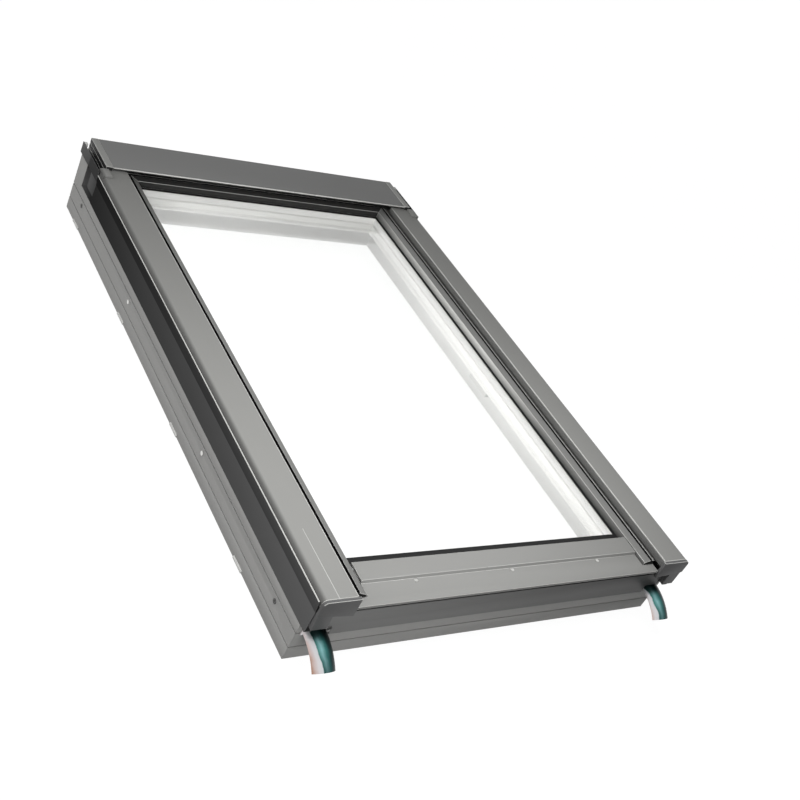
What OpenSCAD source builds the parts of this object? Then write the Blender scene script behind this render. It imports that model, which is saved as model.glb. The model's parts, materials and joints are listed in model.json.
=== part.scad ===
// Centre-pivot roof window: a fixed frame with its outside covers, a glazed sash that turns
// about a level axis at mid length, and a handle that drives a lock bolt.
// X is the width, Y runs up the roof slope, Z points to the weather side.
// The room side of the frame lies on z = 0.

/* [Frame] */
// Width over the outer faces of the frame
frame_w = 780; // [700:10:1140]
// Length over the outer faces of the frame
frame_l = 1180; // [980:10:1400]
// Height of the outer wall that stays in sight
base_h = 78; // [70:1:84]
// Full height of the side and top rails
rail_h = 128; // [112:1:150]
// Top of the side rails down to the top of the bottom rail
bottom_drop = 22; // [20:1:26]
// Sash's room face down to the top of the wall at the room side
wall_drop = 10; // [6:1:14]
// Rise of the slope above the room-side wall
slope_rise = 16; // [12:1:18]
// Thickness of the wall at the room side
wall_t = 36; // [32:1:40]
// Outer face to the inner face of the upper part, side rails
step_side = 62; // [60:1:66]
// Outer face to the inner face of the upper part, top rail
step_top = 58; // [56:1:62]
// Outer face to the inner face of the upper part, bottom rail
step_bottom = 41; // [40:1:44]
// How far the upper part of the side rails is set back behind the outer face
side_rebate = 12; // [9:1:14]
// Length of the full-height corner block at the top of each side rail
corner_block = 42; // [36:1:50]
// Height of the lower groove in the outer faces
groove_low_z = 27; // [20:1:34]
// Height of the upper groove in the outer faces
groove_high_z = 59; // [50:1:66]
// Width of a groove
groove_w = 1.8; // [1:0.1:3]
// Depth of a groove
groove_d = 1.6; // [0.8:0.1:3]

/* [Sash] */
// Gap between sash and frame at the sides and the bottom
sash_gap = 6; // [5:0.5:8]
// Gap between sash and frame at the top, where the sash swings past
sash_gap_top = 10; // [9:0.5:14]
// Width of a sash rail, seen from the room
sash_face = 28; // [26:1:34]
// Top of the frame rails down to the sash's room face
sash_drop = 58; // [55:1:60]
// Height of a sash rail
sash_h = 51; // [50.5:0.5:52]
// Height of the ledge that carries the glass above the room face
ledge_h = 25; // [22:1:26]
// Width of that ledge
ledge_w = 14; // [12:1:16]
// Chamfer of the sash rails' inner edge
sash_chamfer = 2.5; // [1:0.5:5]

/* [Glazing] */
// Thickness of one pane
pane_t = 4; // [3:0.5:4.5]
// Height of the spacer between the panes
spacer_h = 14.5; // [12:0.5:14.5]
// Width of the spacer
spacer_w = 10; // [6:1:12]
// Gap between the glass edge and the sash
glass_gap = 1.5; // [1:0.5:3]
// Thickness of the inner glazing gasket
tape_t = 2; // [1:0.5:2.5]
// Width of the outer gasket that shows beside the strips
gasket_show = 5; // [4:0.5:8]

/* [Glazing strips] */
// Height of the strips
strip_h = 16.5; // [14:0.5:19]
// Width of a strip
strip_w = 24.5; // [23:0.5:26]
// Wall of the strip profile
strip_t = 1.8; // [1.4:0.1:2.4]

/* [Sash bottom cover] */
// Width of the raised part of the cover
cover_raised_w = 35; // [28:1:40]
// Outer edge of the cover, past the frame's outer face
cover_reach = 19; // [16:1:21]
// Height of the raised part above the sash
cover_raised_h = 13; // [11:0.5:17]
// Height of the flat part above the sash
cover_flat_h = 8; // [6.5:0.5:10]
// Height of the cover's front lip
cover_lip_h = 5; // [3:0.5:8]
// Sheet thickness of the covers and the hood
sheet_t = 1.2; // [0.8:0.1:1.6]

/* [Claddings] */
// Height of the side claddings above the rails
clad_rise = 22.5; // [20:0.5:28]
// Radius of the outer edge
clad_r = 9; // [6:0.5:11]
// Radius of the inner top edge
clad_inner_r = 3.5; // [2:0.5:5]
// Wall of the cladding profile
clad_t = 1.8; // [1.4:0.1:2.4]
// Depth of the inner wall that faces the sash
clad_wall_h = 15.5; // [12:0.5:18]
// How far the claddings run past the frame's bottom face
clad_reach = 16; // [14:1:20]
// How far the side gutters run past the frame's bottom face
gutter_reach = 13; // [11:1:15]
// How far the front cover stands out from the frame's bottom face
front_reach = 9; // [6:1:10]
// Thickness of the cladding end caps
cap_t = 6; // [4:0.5:8]
// Height of the cladding end caps
cap_h = 29; // [24:1:34]
// Height of the foot of the caps' legs above the outer wall
cap_leg_rise = 12.5; // [11:0.5:16]
// Height of the top edge of the dark side gutters above the rails
gutter_rise = 14; // [10:0.5:18]
// Top of the rails down to the crease in the side gutters
gutter_crease_drop = 7; // [2:1:16]
// Length of the opening that drains each side gutter at the top
gutter_opening = 62; // [40:1:80]
// Height of the front cover below the top of the outer wall
front_drop = 18; // [12:1:22]

/* [Top hood] */
// Height of the hood above the claddings
hood_rise = 8.5; // [6.5:0.5:14]
// Depth of the hood up the slope
hood_d = 107; // [98:1:116]
// How far the hood runs past the frame's top face
hood_reach = 13; // [10:1:16]
// Width of each lighter end piece
hood_end_w = 14; // [10:1:20]
// Gap between the hood's end and the frame's outer face
hood_gap = 15; // [13:1:20]
// Height of the hood's front lip
hood_lip_h = 3.5; // [2.5:0.5:5]
// Height of the fins beside the hood above the rails
wing_rise = 24; // [18:1:28]
// How far the fins run past the frame's top face
wing_reach = 8; // [4:1:12]

/* [Hinge and lock] */
// Sash's room face down to the pivot axis
pivot_drop = 12; // [10:1:14]
// Radius of the pivot pin
pivot_r = 6; // [4:0.5:7]
// Radial clearance of the turning pins
run_gap = 0.06; // [0.02:0.01:0.1]
// Length of the handle lever
lever_l = 112; // [90:1:130]
// Travel of the lock bolt
bolt_travel = 10; // [8:0.5:10]
// Sash's room face down to the room side of the lever
lever_drop = 36; // [32:1:44]

/* [Fixings] */
// Distance between the bracket holes along each side
bracket_span = 1040; // [700:10:1060]
// Height of the bracket holes
bracket_z = 48; // [44:1:52]
// Radius of the bracket holes
bracket_hole_r = 2.5; // [2:0.1:3.5]
// Width of a bottom tongue
tongue_w = 41; // [34:1:42]
// Rise of the tongue's arched section
tongue_rise = 10; // [4:0.5:11]
// Radius to which a tongue is bent along its length
tongue_bend = 94; // [70:1:130]
// Angle over which a tongue is bent
tongue_turn = 40; // [25:1:50]
// Distance between the screws along each side
screw_span = 406; // [300:2:600]
// Distance between the screws of the sash's bottom cover
cover_screw_pitch = 197; // [150:1:230]
// Length of an edge pad
pad_l = 34; // [20:1:50]

/* [Hidden] */
$fn = 48;
eps = 0.01;

// Frame outline
fx = frame_w / 2;
fy = frame_l / 2;
inner_x = fx - wall_t;
step_x = fx - step_side;
top_step_y = fy - step_top;
bottom_step_y = -fy + step_bottom;
sash_z = rail_h - sash_drop;
wall_z = sash_z - wall_drop;
slope_z = wall_z + slope_rise;
bottom_slope_rise = 5;
bottom_slope_z = wall_z + bottom_slope_rise;
bottom_rail_h = rail_h - bottom_drop;
rebate_x = fx - side_rebate;
block_y = fy - corner_block;
bracket_hole_d = 30;

// Sash outline
sash_top_z = sash_z + sash_h;
ledge_z = sash_z + ledge_h;
sx = step_x - sash_gap;
sash_y1 = top_step_y - sash_gap_top;
sash_y0 = bottom_step_y + sash_gap;

// Glass stack, from the ledge up
glass_x = sx - sash_face + ledge_w - glass_gap;
glass_y1 = sash_y1 - sash_face + ledge_w - glass_gap;
glass_y0 = sash_y0 + sash_face - ledge_w + glass_gap;
inner_pane_z = ledge_z + tape_t;
spacer_z = inner_pane_z + pane_t;
outer_pane_z = spacer_z + spacer_h;
glass_z = outer_pane_z + pane_t;
spacer_in = 3;
gasket_lip = 2.5;
gasket_tuck = 3;
gasket_bottom = 18.5;

// Glazing strips and the cover between them
strip_z = sash_top_z + strip_h;
strip_x = sx - strip_w;
strip_y = sash_y1 - strip_w;
strip_land = 12;
strip_drop = 4.5;
strip_lean = 3;
strip_rib = 3.2;
strip_groove_d = 9.5;
strip_groove_z = strip_z - strip_groove_d;
strip_over = 1;
strip_end_y = -fy - strip_over;
strip_plug = 2.5;
cover_side_gap = 1;
cover_over = 1;
cover_set = 0.5;
cover_screw_set = 4.5;
cover_in_x = strip_x - cover_side_gap;
cover_out_x = sx + cover_over;
cover_in_y = sash_y0 + ledge_w - cover_set;
cover_fold_y = cover_in_y - cover_raised_w;
cover_out_y = -fy - cover_reach;
cover_wide_y = strip_end_y - cover_side_gap;
cover_step = 2.5;
cover_foot = 6;
cover_raised_z = sash_top_z + cover_raised_h;
cover_flat_z = sash_top_z + cover_flat_h;
cover_screw_y = cover_fold_y - cover_step - cover_screw_set;
cover_screw_r = 3.4;
cover_screw_h = 1.2;
nose_h = 11.8;
nose_top = cover_flat_z - sheet_t;
nose_bottom = nose_top - nose_h;
nose_set = 5;
nose_y = -fy + nose_set;

// Outside covers
clad_z = rail_h + clad_rise;
clad_foot_z = clad_z - clad_wall_h;
clad_set = 1;
clad_out_x = fx - clad_set;
clad_end_y = -fy - clad_reach;
clad_leg_in = 14;
clad_leg_out = 8;
cap_gap = 2;
cap_x = cover_out_x + cap_gap;
cap_out_x = fx;
cap_foot_z = clad_z - cap_h;
cap_slant = 8;
cap_leg_w = 27;
cap_leg_out_x = fx - 2 * clad_set;
cap_leg_in_x = cap_leg_out_x - cap_leg_w;
cap_leg_z = base_h + cap_leg_rise;
cap_leg_set = 1;
gutter_end_y = -fy - gutter_reach;
gutter_cut_y = block_y - gutter_opening;
gutter_mid = sheet_t / 2;
gutter_wall_drop = 4;
gutter_wall_z = rail_h - gutter_wall_drop;
gutter_heel_set = 0.2;
gutter_crease_set = 1.4;
gutter_lean = 1;
front_lap = 3;
front_x = cap_leg_in_x + front_lap;
front_low_z = base_h - front_drop;
front_hem = 3;
front_foot = 18;
hood_z = clad_z + hood_rise;
hood_x = fx - hood_gap;
hood_y0 = fy + hood_reach - hood_d;
hood_y1 = fy + hood_reach;
hood_back_drop = 8;
hood_back_z = rail_h - hood_back_drop;
hood_end_rise = 0.5;
hood_end_z = hood_z + hood_end_rise;
hood_end_gap = 1;
hood_groove = 1.2;
clad_lap = 6;
clad_top_y = hood_y0 + clad_lap;
wing_top_z = rail_h + wing_rise;
wing_gap = 0.5;
tab_gap = 1;
tab_l = 28;
tab_w = 18;
tab_y1 = hood_y0 - tab_gap;
tab_y0 = tab_y1 - tab_l;
tab_out_x = clad_out_x - clad_set;
tab_in_x = tab_out_x - tab_w;
tab_rise = 4.5;
tab_edge = 3;
tab_drop = 5;

// Bottom tongues
tongue_set = 28;
tongue_x = fx - tongue_set;
tongue_tilt = 2;
tongue_drop = 14;
tongue_foot_z = base_h - tongue_drop;
tongue_foot_h = 8;
tongue_t = 1.6;
tongue_gap = 3;
tongue_axis_y = -fy + tongue_bend * sin(tongue_tilt);
tongue_axis_z = tongue_foot_z - tongue_bend * cos(tongue_tilt);
tongue_tip_y = tongue_axis_y - (tongue_bend + tongue_rise) * sin(tongue_tilt + tongue_turn);

// The origin lies under the middle of the whole outline
shift_y = -(hood_y1 + tongue_tip_y) / 2;

// Weather seals: a foot on the frame and a bulb that meets the sash
seal_rise = 30;
seal_z = sash_z + seal_rise;
seal_r = 2.4;
seal_top_r = 2;
seal_gap = 0.8;
seal_end = 4;
seal_lock_x = 28;

// Pivot hinge
pivot_z = sash_z - pivot_drop;
arm_t = 3;
arm_w = 60;
arm_low = 4;
arm_high = 6;
plate_t = 12;
plate_w = 68;
plate_low = 32;
boss_r = 13;
boss_gap = 4;
pocket_gap = 2;
pin_end_gap = 1;
seal_break = 75;

// Lock, on the middle line of the bottom sash rail
lock_y = sash_y0 + sash_face / 2;
lock_pocket_x = 28;
lock_pocket_y = 10.3;
lock_fit = 0.5;
lock_pocket_h = 14.2;
lock_roof = sash_z + lock_pocket_h;
lock_plate_x = 36;
lock_plate_low = 12;
lock_plate_high = 11;
lock_guide_x = 20;
spindle_r = 4;
cam_r = 9.2;
cam_gap = 1;
cam_z = sash_z + cam_gap;
cam_t = 4;
drive_pin_r = 2;
drive_r = bolt_travel / sqrt(2);
bolt_rise = 9.5;
bolt_t = 4.3;
bolt_z0 = sash_z + bolt_rise;
bolt_z1 = bolt_z0 + bolt_t;
bolt_head_w = 10;
bolt_play = 0.35;
bolt_gap = 0.6;
bolt_pocket = 4;
bolt_pocket_d = 11;
striker_t = 2;
striker_x = 17;
striker_low = 8;
striker_high = 12;
striker_hole = 3;
lock_plate_t = 3;
rose_t = 7;
rose_r = 13;
rose_taper = 1;
rose_gap = 0.4;
hub_r = 10;
lever_z0 = sash_z - lever_drop;
lever_t = 10;
lever_root = 8;
lever_tip_r = 6.5;
rose_z = sash_z - lock_plate_t - rose_t;

// Pads and screws of the frame's sides
pad_pitch = frame_l * 0.262;
pad_shift = 57;
pad_t = 1.8;
pad_low_z = 0.5;
pad_edge_z = 4;
pad_high_z = 6;
frame_screw_r = 4.2;
frame_screw_h = 1.6;

steel = [0.72, 0.72, 0.7];
grey_pvc = [0.55, 0.55, 0.54];
grey_alu = [0.5, 0.5, 0.49];
dark_alu = [0.24, 0.24, 0.24];
white_pvc = [0.93, 0.93, 0.91];
black = [0.1, 0.1, 0.1];

// Puts everything on the origin
module place() {
    translate([0, shift_y, 0]) children();
}

// Mirrors a right-hand piece for the left
module side(s) {
    mirror([s < 0 ? 1 : 0, 0, 0]) children();
}

// Extrudes an (x, z) section from y0 to y1
module along_y(y0, y1) {
    translate([0, y1, 0]) rotate([90, 0, 0]) linear_extrude(y1 - y0) children();
}

// Extrudes a (y, z) section from x0 to x1
module along_x(x0, x1) {
    translate([x0, 0, 0]) rotate([90, 0, 90]) linear_extrude(x1 - x0) children();
}

// A straight prism over a plan outline
module plan(points, z0, z1) {
    translate([0, 0, z0]) linear_extrude(z1 - z0) polygon(points);
}

// A box from corner to corner
module block(a, b) {
    translate(a) cube(b - a);
}

function unit(v) = v / norm(v);
function turned(v) = [-v[1], v[0]];
function mitre(p, i) =
    let (n = len(p) - 1,
         before = turned(unit(i == 0 ? p[1] - p[0] : p[i] - p[i - 1])),
         after = turned(unit(i == n ? p[n] - p[n - 1] : p[i + 1] - p[i])),
         m = unit(before + after))
    m / (m * after);

// Section of a folded sheet of thickness t along its middle line
module folded(p, t) {
    n = len(p) - 1;
    polygon(concat(
        [for (i = [0:n]) p[i] + mitre(p, i) * t / 2],
        [for (i = [n:-1:0]) p[i] - mitre(p, i) * t / 2]));
}

// Grooves of an outer face that stands at a, cut from a section
module groove_cuts(a, sign) {
    for (z = [groove_low_z, groove_high_z])
        translate([a - (sign > 0 ? groove_d : 1), z - groove_w / 2]) square([groove_d + 1, groove_w]);
}

// Frame rails

module side_rail_section() {
    difference() {
        polygon([[fx, 0], [inner_x, 0], [inner_x, wall_z], [step_x, slope_z],
                 [step_x, rail_h], [fx, rail_h]]);
        groove_cuts(fx, 1);
    }
}

module side_rail(s) {
    side(s) difference() {
        intersection() {
            along_y(-fy, fy) side_rail_section();
            plan([[fx, -fy], [fx, fy], [step_x, fy - step_side], [step_x, bottom_step_y],
                  [fx - step_bottom, bottom_step_y]], -1, rail_h + 1);
        }
        block([rebate_x, -fy - 1, base_h], [fx + 1, block_y, rail_h + 1]);
        block([step_x - 1, -plate_w / 2 - pocket_gap, pivot_z - plate_low - pocket_gap],
              [inner_x, plate_w / 2 + pocket_gap, pivot_z + plate_low + pocket_gap]);
        for (y = [-1, 1] * bracket_span / 2)
            translate([fx - bracket_hole_d, y, bracket_z]) rotate([0, 90, 0])
                cylinder(r = bracket_hole_r, h = bracket_hole_d + 1);
    }
}

module top_rail() {
    intersection() {
        along_x(-fx, fx) difference() {
            polygon([[fy, 0], [fy - wall_t, 0], [fy - wall_t, wall_z], [top_step_y, slope_z],
                     [top_step_y, rail_h], [fy, rail_h]]);
            groove_cuts(fy, 1);
        }
        plan([[-fx, fy], [fx, fy], [fx - step_top, top_step_y], [step_top - fx, top_step_y]],
             -1, rail_h + 1);
    }
}

module bottom_rail() {
    difference() {
        intersection() {
            along_x(-fx, fx) difference() {
                polygon([[-fy, 0], [wall_t - fy, 0], [wall_t - fy, wall_z], [bottom_step_y, bottom_slope_z],
                         [bottom_step_y, bottom_rail_h], [-fy, bottom_rail_h]]);
                groove_cuts(-fy, -1);
            }
            plan([[-fx, -fy], [fx, -fy], [fx - step_bottom, bottom_step_y],
                  [step_bottom - fx, bottom_step_y]], -1, rail_h + 1);
        }
        for (s = [-1, 1]) side(s) block([rebate_x, -fy - 1, base_h], [fx + 1, bottom_step_y, rail_h]);
        block([-bolt_head_w / 2 - bolt_pocket, bottom_step_y - bolt_pocket_d, bolt_z0 - bolt_pocket],
              [bolt_head_w / 2 + bolt_pocket, bottom_step_y + 1, bolt_z1 + bolt_pocket]);
    }
}

module frame_rail_left() { color(grey_pvc) place() side_rail(-1); }
module frame_rail_right() { color(grey_pvc) place() side_rail(1); }
module frame_rail_top() { color(grey_pvc) place() top_rail(); }
module frame_rail_bottom() { color(grey_pvc) place() bottom_rail(); }

// Outside covers of the frame

gutter_back_top = [rebate_x + gutter_mid, gutter_wall_z];
gutter_back = [rebate_x + gutter_mid, base_h + gutter_mid];
gutter_heel = [fx - gutter_heel_set, base_h + gutter_mid];
gutter_crease = [fx - gutter_crease_set, rail_h - gutter_crease_drop];
gutter_edge = [fx + gutter_lean, rail_h + gutter_rise];

// Side gutter: back wall and floor on the rail's shoulder, an outer wall that is cut short at the
// top, and a plate that closes its upper end
module side_gutter(s) {
    side(s) {
        along_y(gutter_end_y, block_y) folded([gutter_back_top, gutter_back, gutter_heel], sheet_t);
        along_y(gutter_end_y, gutter_cut_y)
            folded([gutter_back, gutter_heel, gutter_crease, gutter_edge], sheet_t);
        along_y(block_y - sheet_t, block_y)
            translate([rebate_x, base_h]) square([fx - rebate_x, rail_h - base_h]);
    }
}

module side_gutter_left() { color(dark_alu) place() side_gutter(-1); }
module side_gutter_right() { color(dark_alu) place() side_gutter(1); }

// Folded cover with a hem at its lower edge, notched at the lower corners for the tongues
module front_cover() {
    z1 = bottom_rail_h + sheet_t / 2;
    y1 = -fy - front_reach + sheet_t / 2;
    notch_x = tongue_x - tongue_w / 2 - tongue_gap;
    color(grey_alu) place() difference() {
        along_x(-front_x, front_x) folded([[bottom_step_y - front_foot, z1], [y1, z1],
            [y1, front_low_z], [y1 + front_hem, front_low_z]], sheet_t);
        for (s = [-1, 1]) side(s)
            block([notch_x, -fy - front_reach - 1, front_low_z - sheet_t],
                  [front_x + 1, -fy, tongue_foot_z + tongue_rise + tongue_gap]);
    }
}

// Outline of a cladding's skin, set in by the wall for the hollow
module clad_skin(inset) {
    r = clad_r - inset;
    ri = clad_inner_r - inset;
    x0 = step_x + inset;
    x1 = clad_out_x - inset;
    z1 = clad_z - inset;
    z0 = clad_foot_z + inset;
    union() {
        translate([x0 + ri, z0]) square([x1 - r - x0 - ri, z1 - z0]);
        translate([x0, z0]) square([x1 - x0, z1 - r - z0]);
        translate([x0, z0]) square([ri + eps, z1 - ri - z0]);
        translate([x0 + ri, z1 - ri]) circle(ri);
        translate([x1 - r, z1 - r]) circle(r);
    }
}

module clad_section() {
    difference() {
        clad_skin(0);
        clad_skin(clad_t);
    }
    for (x = [step_x + clad_leg_in, rebate_x - clad_leg_out])
        translate([x, rail_h]) square([clad_t, clad_foot_z + clad_t / 2 - rail_h]);
}

module side_cladding(s) {
    side(s) along_y(clad_end_y, clad_top_y) clad_section();
}

module side_cladding_left() { color(grey_alu) place() side_cladding(-1); }
module side_cladding_right() { color(grey_alu) place() side_cladding(1); }

// End cap: a plate with a slanted foot, and a leg below it that closes the gutter
module cladding_cap(s) {
    side(s) {
        along_y(clad_end_y - cap_t, clad_end_y) {
            polygon([[cap_x, cap_foot_z - cap_slant], [cap_out_x, cap_foot_z], [cap_out_x, clad_z - clad_r],
                     [cap_out_x - clad_r, clad_z], [cap_x, clad_z]]);
            translate([cap_out_x - clad_r, clad_z - clad_r]) circle(clad_r);
        }
        along_y(clad_end_y - cap_t + cap_leg_set, gutter_end_y)
            translate([cap_leg_in_x, cap_leg_z]) square([cap_leg_w, cap_foot_z + 1 - cap_leg_z]);
    }
}

module cladding_cap_left() { color(dark_alu) place() cladding_cap(-1); }
module cladding_cap_right() { color(dark_alu) place() cladding_cap(1); }

// Low block on the cladding in front of the hood's corner
module cladding_tab(s) {
    side(s) difference() {
        along_y(tab_y0, tab_y1) polygon([[tab_in_x, clad_z], [tab_out_x, clad_z - tab_drop],
            [tab_out_x, clad_z + tab_rise - tab_edge / 2], [tab_out_x - tab_edge, clad_z + tab_rise],
            [tab_in_x, clad_z + tab_rise]]);
        along_y(tab_y0 - 1, tab_y1 + 1) clad_skin(0);
    }
}

module cladding_tab_left() { color(grey_alu) place() cladding_tab(-1); }
module cladding_tab_right() { color(grey_alu) place() cladding_tab(1); }

module top_hood() {
    z1 = hood_z - sheet_t / 2;
    y0 = hood_y0 + sheet_t / 2;
    y1 = hood_y1 - sheet_t / 2;
    color(dark_alu) place() along_x(hood_end_w - hood_x, hood_x - hood_end_w)
        folded([[y0, hood_z - hood_lip_h], [y0, z1], [y1, z1], [y1, hood_back_z], [fy, hood_back_z]], sheet_t);
}

// Moulded end piece that stands on the rail, carries the hood and closes it behind the frame.
// Two grooves run along its outer side.
module hood_end(s) {
    foot_y = clad_top_y + hood_end_gap;
    side(s) difference() {
        along_x(hood_x - hood_end_w, hood_x)
            polygon([[hood_y0, clad_z], [hood_y0, hood_end_z], [hood_y1, hood_end_z], [hood_y1, hood_back_z],
                     [fy, hood_back_z], [fy, rail_h], [foot_y, rail_h], [foot_y, clad_z]]);
        for (i = [1, 2])
            translate([0, 0, rail_h + (hood_end_z - rail_h) * i / 3])
                block([hood_x - hood_groove, hood_y0 - 1, -hood_groove / 2],
                      [hood_x + 1, hood_y1 + 1, hood_groove / 2]);
    }
}

module hood_end_left() { color(grey_alu) place() hood_end(-1); }
module hood_end_right() { color(grey_alu) place() hood_end(1); }

// Fin beside the hood, with a foot on the rail that floors the channel between them
module hood_wing(s) {
    side(s) along_y(gutter_cut_y + wing_gap, fy + wing_reach) {
        translate([fx, rail_h]) square([sheet_t, wing_top_z - rail_h]);
        translate([hood_x, rail_h]) square([fx - hood_x + eps, sheet_t]);
    }
}

module hood_wing_left() { color(dark_alu) place() hood_wing(-1); }
module hood_wing_right() { color(dark_alu) place() hood_wing(1); }

// Section of a weather seal
module seal_bulb(foot, bulb, r) {
    translate([min(foot, bulb), seal_z - r * 0.8]) square([abs(foot - bulb), r * 1.6]);
    translate([bulb, seal_z]) circle(r);
}

module weather_seal() {
    color(black) place() {
        for (s = [-1, 1]) side(s) {
            along_y(seal_break, sash_y1 - seal_end / 2) seal_bulb(step_x, sx + seal_gap + seal_r, seal_r);
            along_y(sash_y0 + seal_end, -seal_break) seal_bulb(step_x, sx + seal_gap + seal_r, seal_r);
            along_x(seal_lock_x, sx - seal_end) seal_bulb(bottom_step_y, sash_y0 - seal_gap - seal_r, seal_r);
        }
        along_x(1.5 * seal_end - sx, sx - 1.5 * seal_end)
            seal_bulb(top_step_y, top_step_y - 1.2 * seal_top_r, seal_top_r);
    }
}

// Pivot hinges

module on_pivot() {
    translate([0, 0, pivot_z]) rotate([0, 90, 0]) children();
}

module hinge_plate(s) {
    boss_x = sx + arm_t + boss_gap;
    side(s) difference() {
        union() {
            block([inner_x - plate_t, -plate_w / 2, pivot_z - plate_low],
                  [inner_x, plate_w / 2, pivot_z + plate_low]);
            translate([boss_x, 0, 0]) on_pivot() cylinder(r = boss_r, h = inner_x - boss_x - eps);
        }
        translate([boss_x - 1, 0, 0]) on_pivot() cylinder(r = pivot_r + run_gap, h = inner_x - boss_x);
    }
}

module hinge_plate_left() { color(steel) place() hinge_plate(-1); }
module hinge_plate_right() { color(steel) place() hinge_plate(1); }

module hinge_arm(s) {
    side(s) {
        block([sx, -arm_w / 2, sash_z + arm_low], [sx + arm_t, arm_w / 2, sash_top_z - arm_high]);
        block([sx, -boss_r, pivot_z], [sx + arm_t, boss_r, sash_z + arm_low + 1]);
        translate([sx, 0, 0]) on_pivot() cylinder(r = boss_r, h = arm_t);
        translate([sx, 0, 0]) on_pivot() cylinder(r = pivot_r, h = inner_x - sx - plate_t - pin_end_gap);
    }
}

module hinge_arm_left() { color(steel) place() hinge_arm(-1); }
module hinge_arm_right() { color(steel) place() hinge_arm(1); }

// Bottom tongues, pads and screws

module tongue_section() {
    arc_r = (pow(tongue_w / 2, 2) + pow(tongue_rise, 2)) / (2 * tongue_rise);
    translate([tongue_bend - arc_r + tongue_rise, 0]) intersection() {
        difference() {
            circle(arc_r);
            circle(arc_r - tongue_t);
        }
        translate([arc_r - tongue_rise, -tongue_w / 2]) square([tongue_rise + 1, tongue_w]);
    }
}

module apron_tongue(s) {
    side(s) {
        translate([tongue_x, tongue_axis_y, tongue_axis_z]) rotate([90, 0, 90])
            rotate([0, 0, 90 + tongue_tilt]) rotate_extrude(angle = tongue_turn, $fn = 96) tongue_section();
        block([tongue_x - tongue_w / 2, -fy - tongue_t, tongue_foot_z - tongue_foot_h],
              [tongue_x + tongue_w / 2, -fy, tongue_foot_z + tongue_rise + 1]);
    }
}

module apron_tongue_left() { color([0.45, 0.6, 0.58]) place() apron_tongue(-1); }
module apron_tongue_right() { color([0.45, 0.6, 0.58]) place() apron_tongue(1); }

module edge_pads() {
    color(white_pvc) place() for (s = [-1, 1], i = [0:3]) side(s)
        translate([fx, pad_shift + (i - 1.5) * pad_pitch, 0]) along_y(-pad_l / 2, pad_l / 2)
            polygon([[0, pad_low_z], [pad_t, pad_low_z], [pad_t, pad_edge_z], [0, pad_high_z]]);
}

// A low domed screw head that stands on z = 0
module screw_head(r, h) {
    rotate_extrude() difference() {
        polygon([[0, 0], [r, 0], [r, h * 0.4], [r * 0.6, h], [0, h]]);
        translate([0, h * 0.55]) square([r * 0.35, h]);
    }
}

module frame_screws() {
    color(steel) place() for (s = [-1, 1], i = [-1, 1]) side(s)
        translate([fx, i * screw_span / 2, bracket_z]) rotate([0, 90, 0])
            screw_head(frame_screw_r, frame_screw_h);
}

// Sash rails

module sash_section(edge, inward) {
    a = function (d) edge + inward * d;
    polygon([[a(0), sash_z], [a(sash_face - sash_chamfer), sash_z], [a(sash_face), sash_z + sash_chamfer],
             [a(sash_face), ledge_z], [a(sash_face - ledge_w), ledge_z],
             [a(sash_face - ledge_w), sash_top_z], [a(0), sash_top_z]]);
}

module sash_side_rail(s) {
    ix = sx - sash_face;
    side(s) intersection() {
        along_y(sash_y0, sash_y1) sash_section(sx, -1);
        plan([[sx, sash_y0], [sx, sash_y1], [ix, sash_y1 - sash_face], [ix, sash_y0 + sash_face]],
             sash_z - 1, sash_top_z + 1);
    }
}

module sash_end_rail(y, inward) {
    ix = sx - sash_face;
    iy = y + inward * sash_face;
    intersection() {
        along_x(-sx, sx) sash_section(y, inward);
        plan([[-sx, y], [sx, y], [ix, iy], [-ix, iy]], sash_z - 1, sash_top_z + 1);
    }
}

module sash_rail_left() { color(white_pvc) place() sash_side_rail(-1); }
module sash_rail_right() { color(white_pvc) place() sash_side_rail(1); }
module sash_rail_top() { color(white_pvc) place() sash_end_rail(sash_y1, -1); }

// The bottom rail has a nose that carries the cover over the frame, and the lock's pocket
module sash_rail_bottom() {
    color(white_pvc) place() difference() {
        union() {
            sash_end_rail(sash_y0, 1);
            block([-cover_in_x + 1, nose_y, nose_bottom],
                  [cover_in_x - 1, cover_in_y - sheet_t, nose_top]);
        }
        block([-lock_pocket_x, lock_y - lock_pocket_y, sash_z - 1],
              [lock_pocket_x, lock_y + lock_pocket_y, lock_roof]);
        block([-bolt_head_w / 2 - bolt_gap, sash_y0 - 1, bolt_z0 - bolt_gap],
              [bolt_head_w / 2 + bolt_gap, lock_y, lock_roof]);
    }
}

// Glazing

module ring(x, y0, y1, w, z0, z1) {
    difference() {
        block([-x, y0, z0], [x, y1, z1]);
        block([w - x, y0 + w, z0 - 1], [x - w, y1 - w, z1 + 1]);
    }
}

module outer_pane() {
    color([0.75, 0.85, 0.85, 0.35]) place()
        block([-glass_x, glass_y0, outer_pane_z], [glass_x, glass_y1, glass_z]);
}

module inner_pane() {
    color([0.75, 0.85, 0.85, 0.35]) place()
        block([-glass_x, glass_y0, inner_pane_z], [glass_x, glass_y1, spacer_z]);
}

module pane_spacer() {
    color(black) place() ring(glass_x - spacer_in, glass_y0 + spacer_in, glass_y1 - spacer_in,
                              spacer_w, spacer_z, outer_pane_z);
}

module inner_gasket() {
    color(black) place() ring(glass_x, glass_y0, glass_y1, ledge_w - glass_gap - 1, ledge_z, inner_pane_z);
}

// The outer gasket shows a sloping lip between the strips and the glass
module outer_gasket() {
    x = strip_x + gasket_tuck;
    y0 = glass_y0;
    y1 = strip_y + gasket_tuck;
    mid_z = (glass_z + sash_top_z) / 2;
    color(black) place() {
        ring(x, y0, y1, gasket_show + gasket_tuck, glass_z, mid_z);
        ring(x, y0, y1, gasket_show + gasket_tuck - gasket_lip, mid_z, sash_top_z);
        block([-strip_x, y0, glass_z], [strip_x, y0 + gasket_bottom, mid_z]);
    }
}

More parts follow.
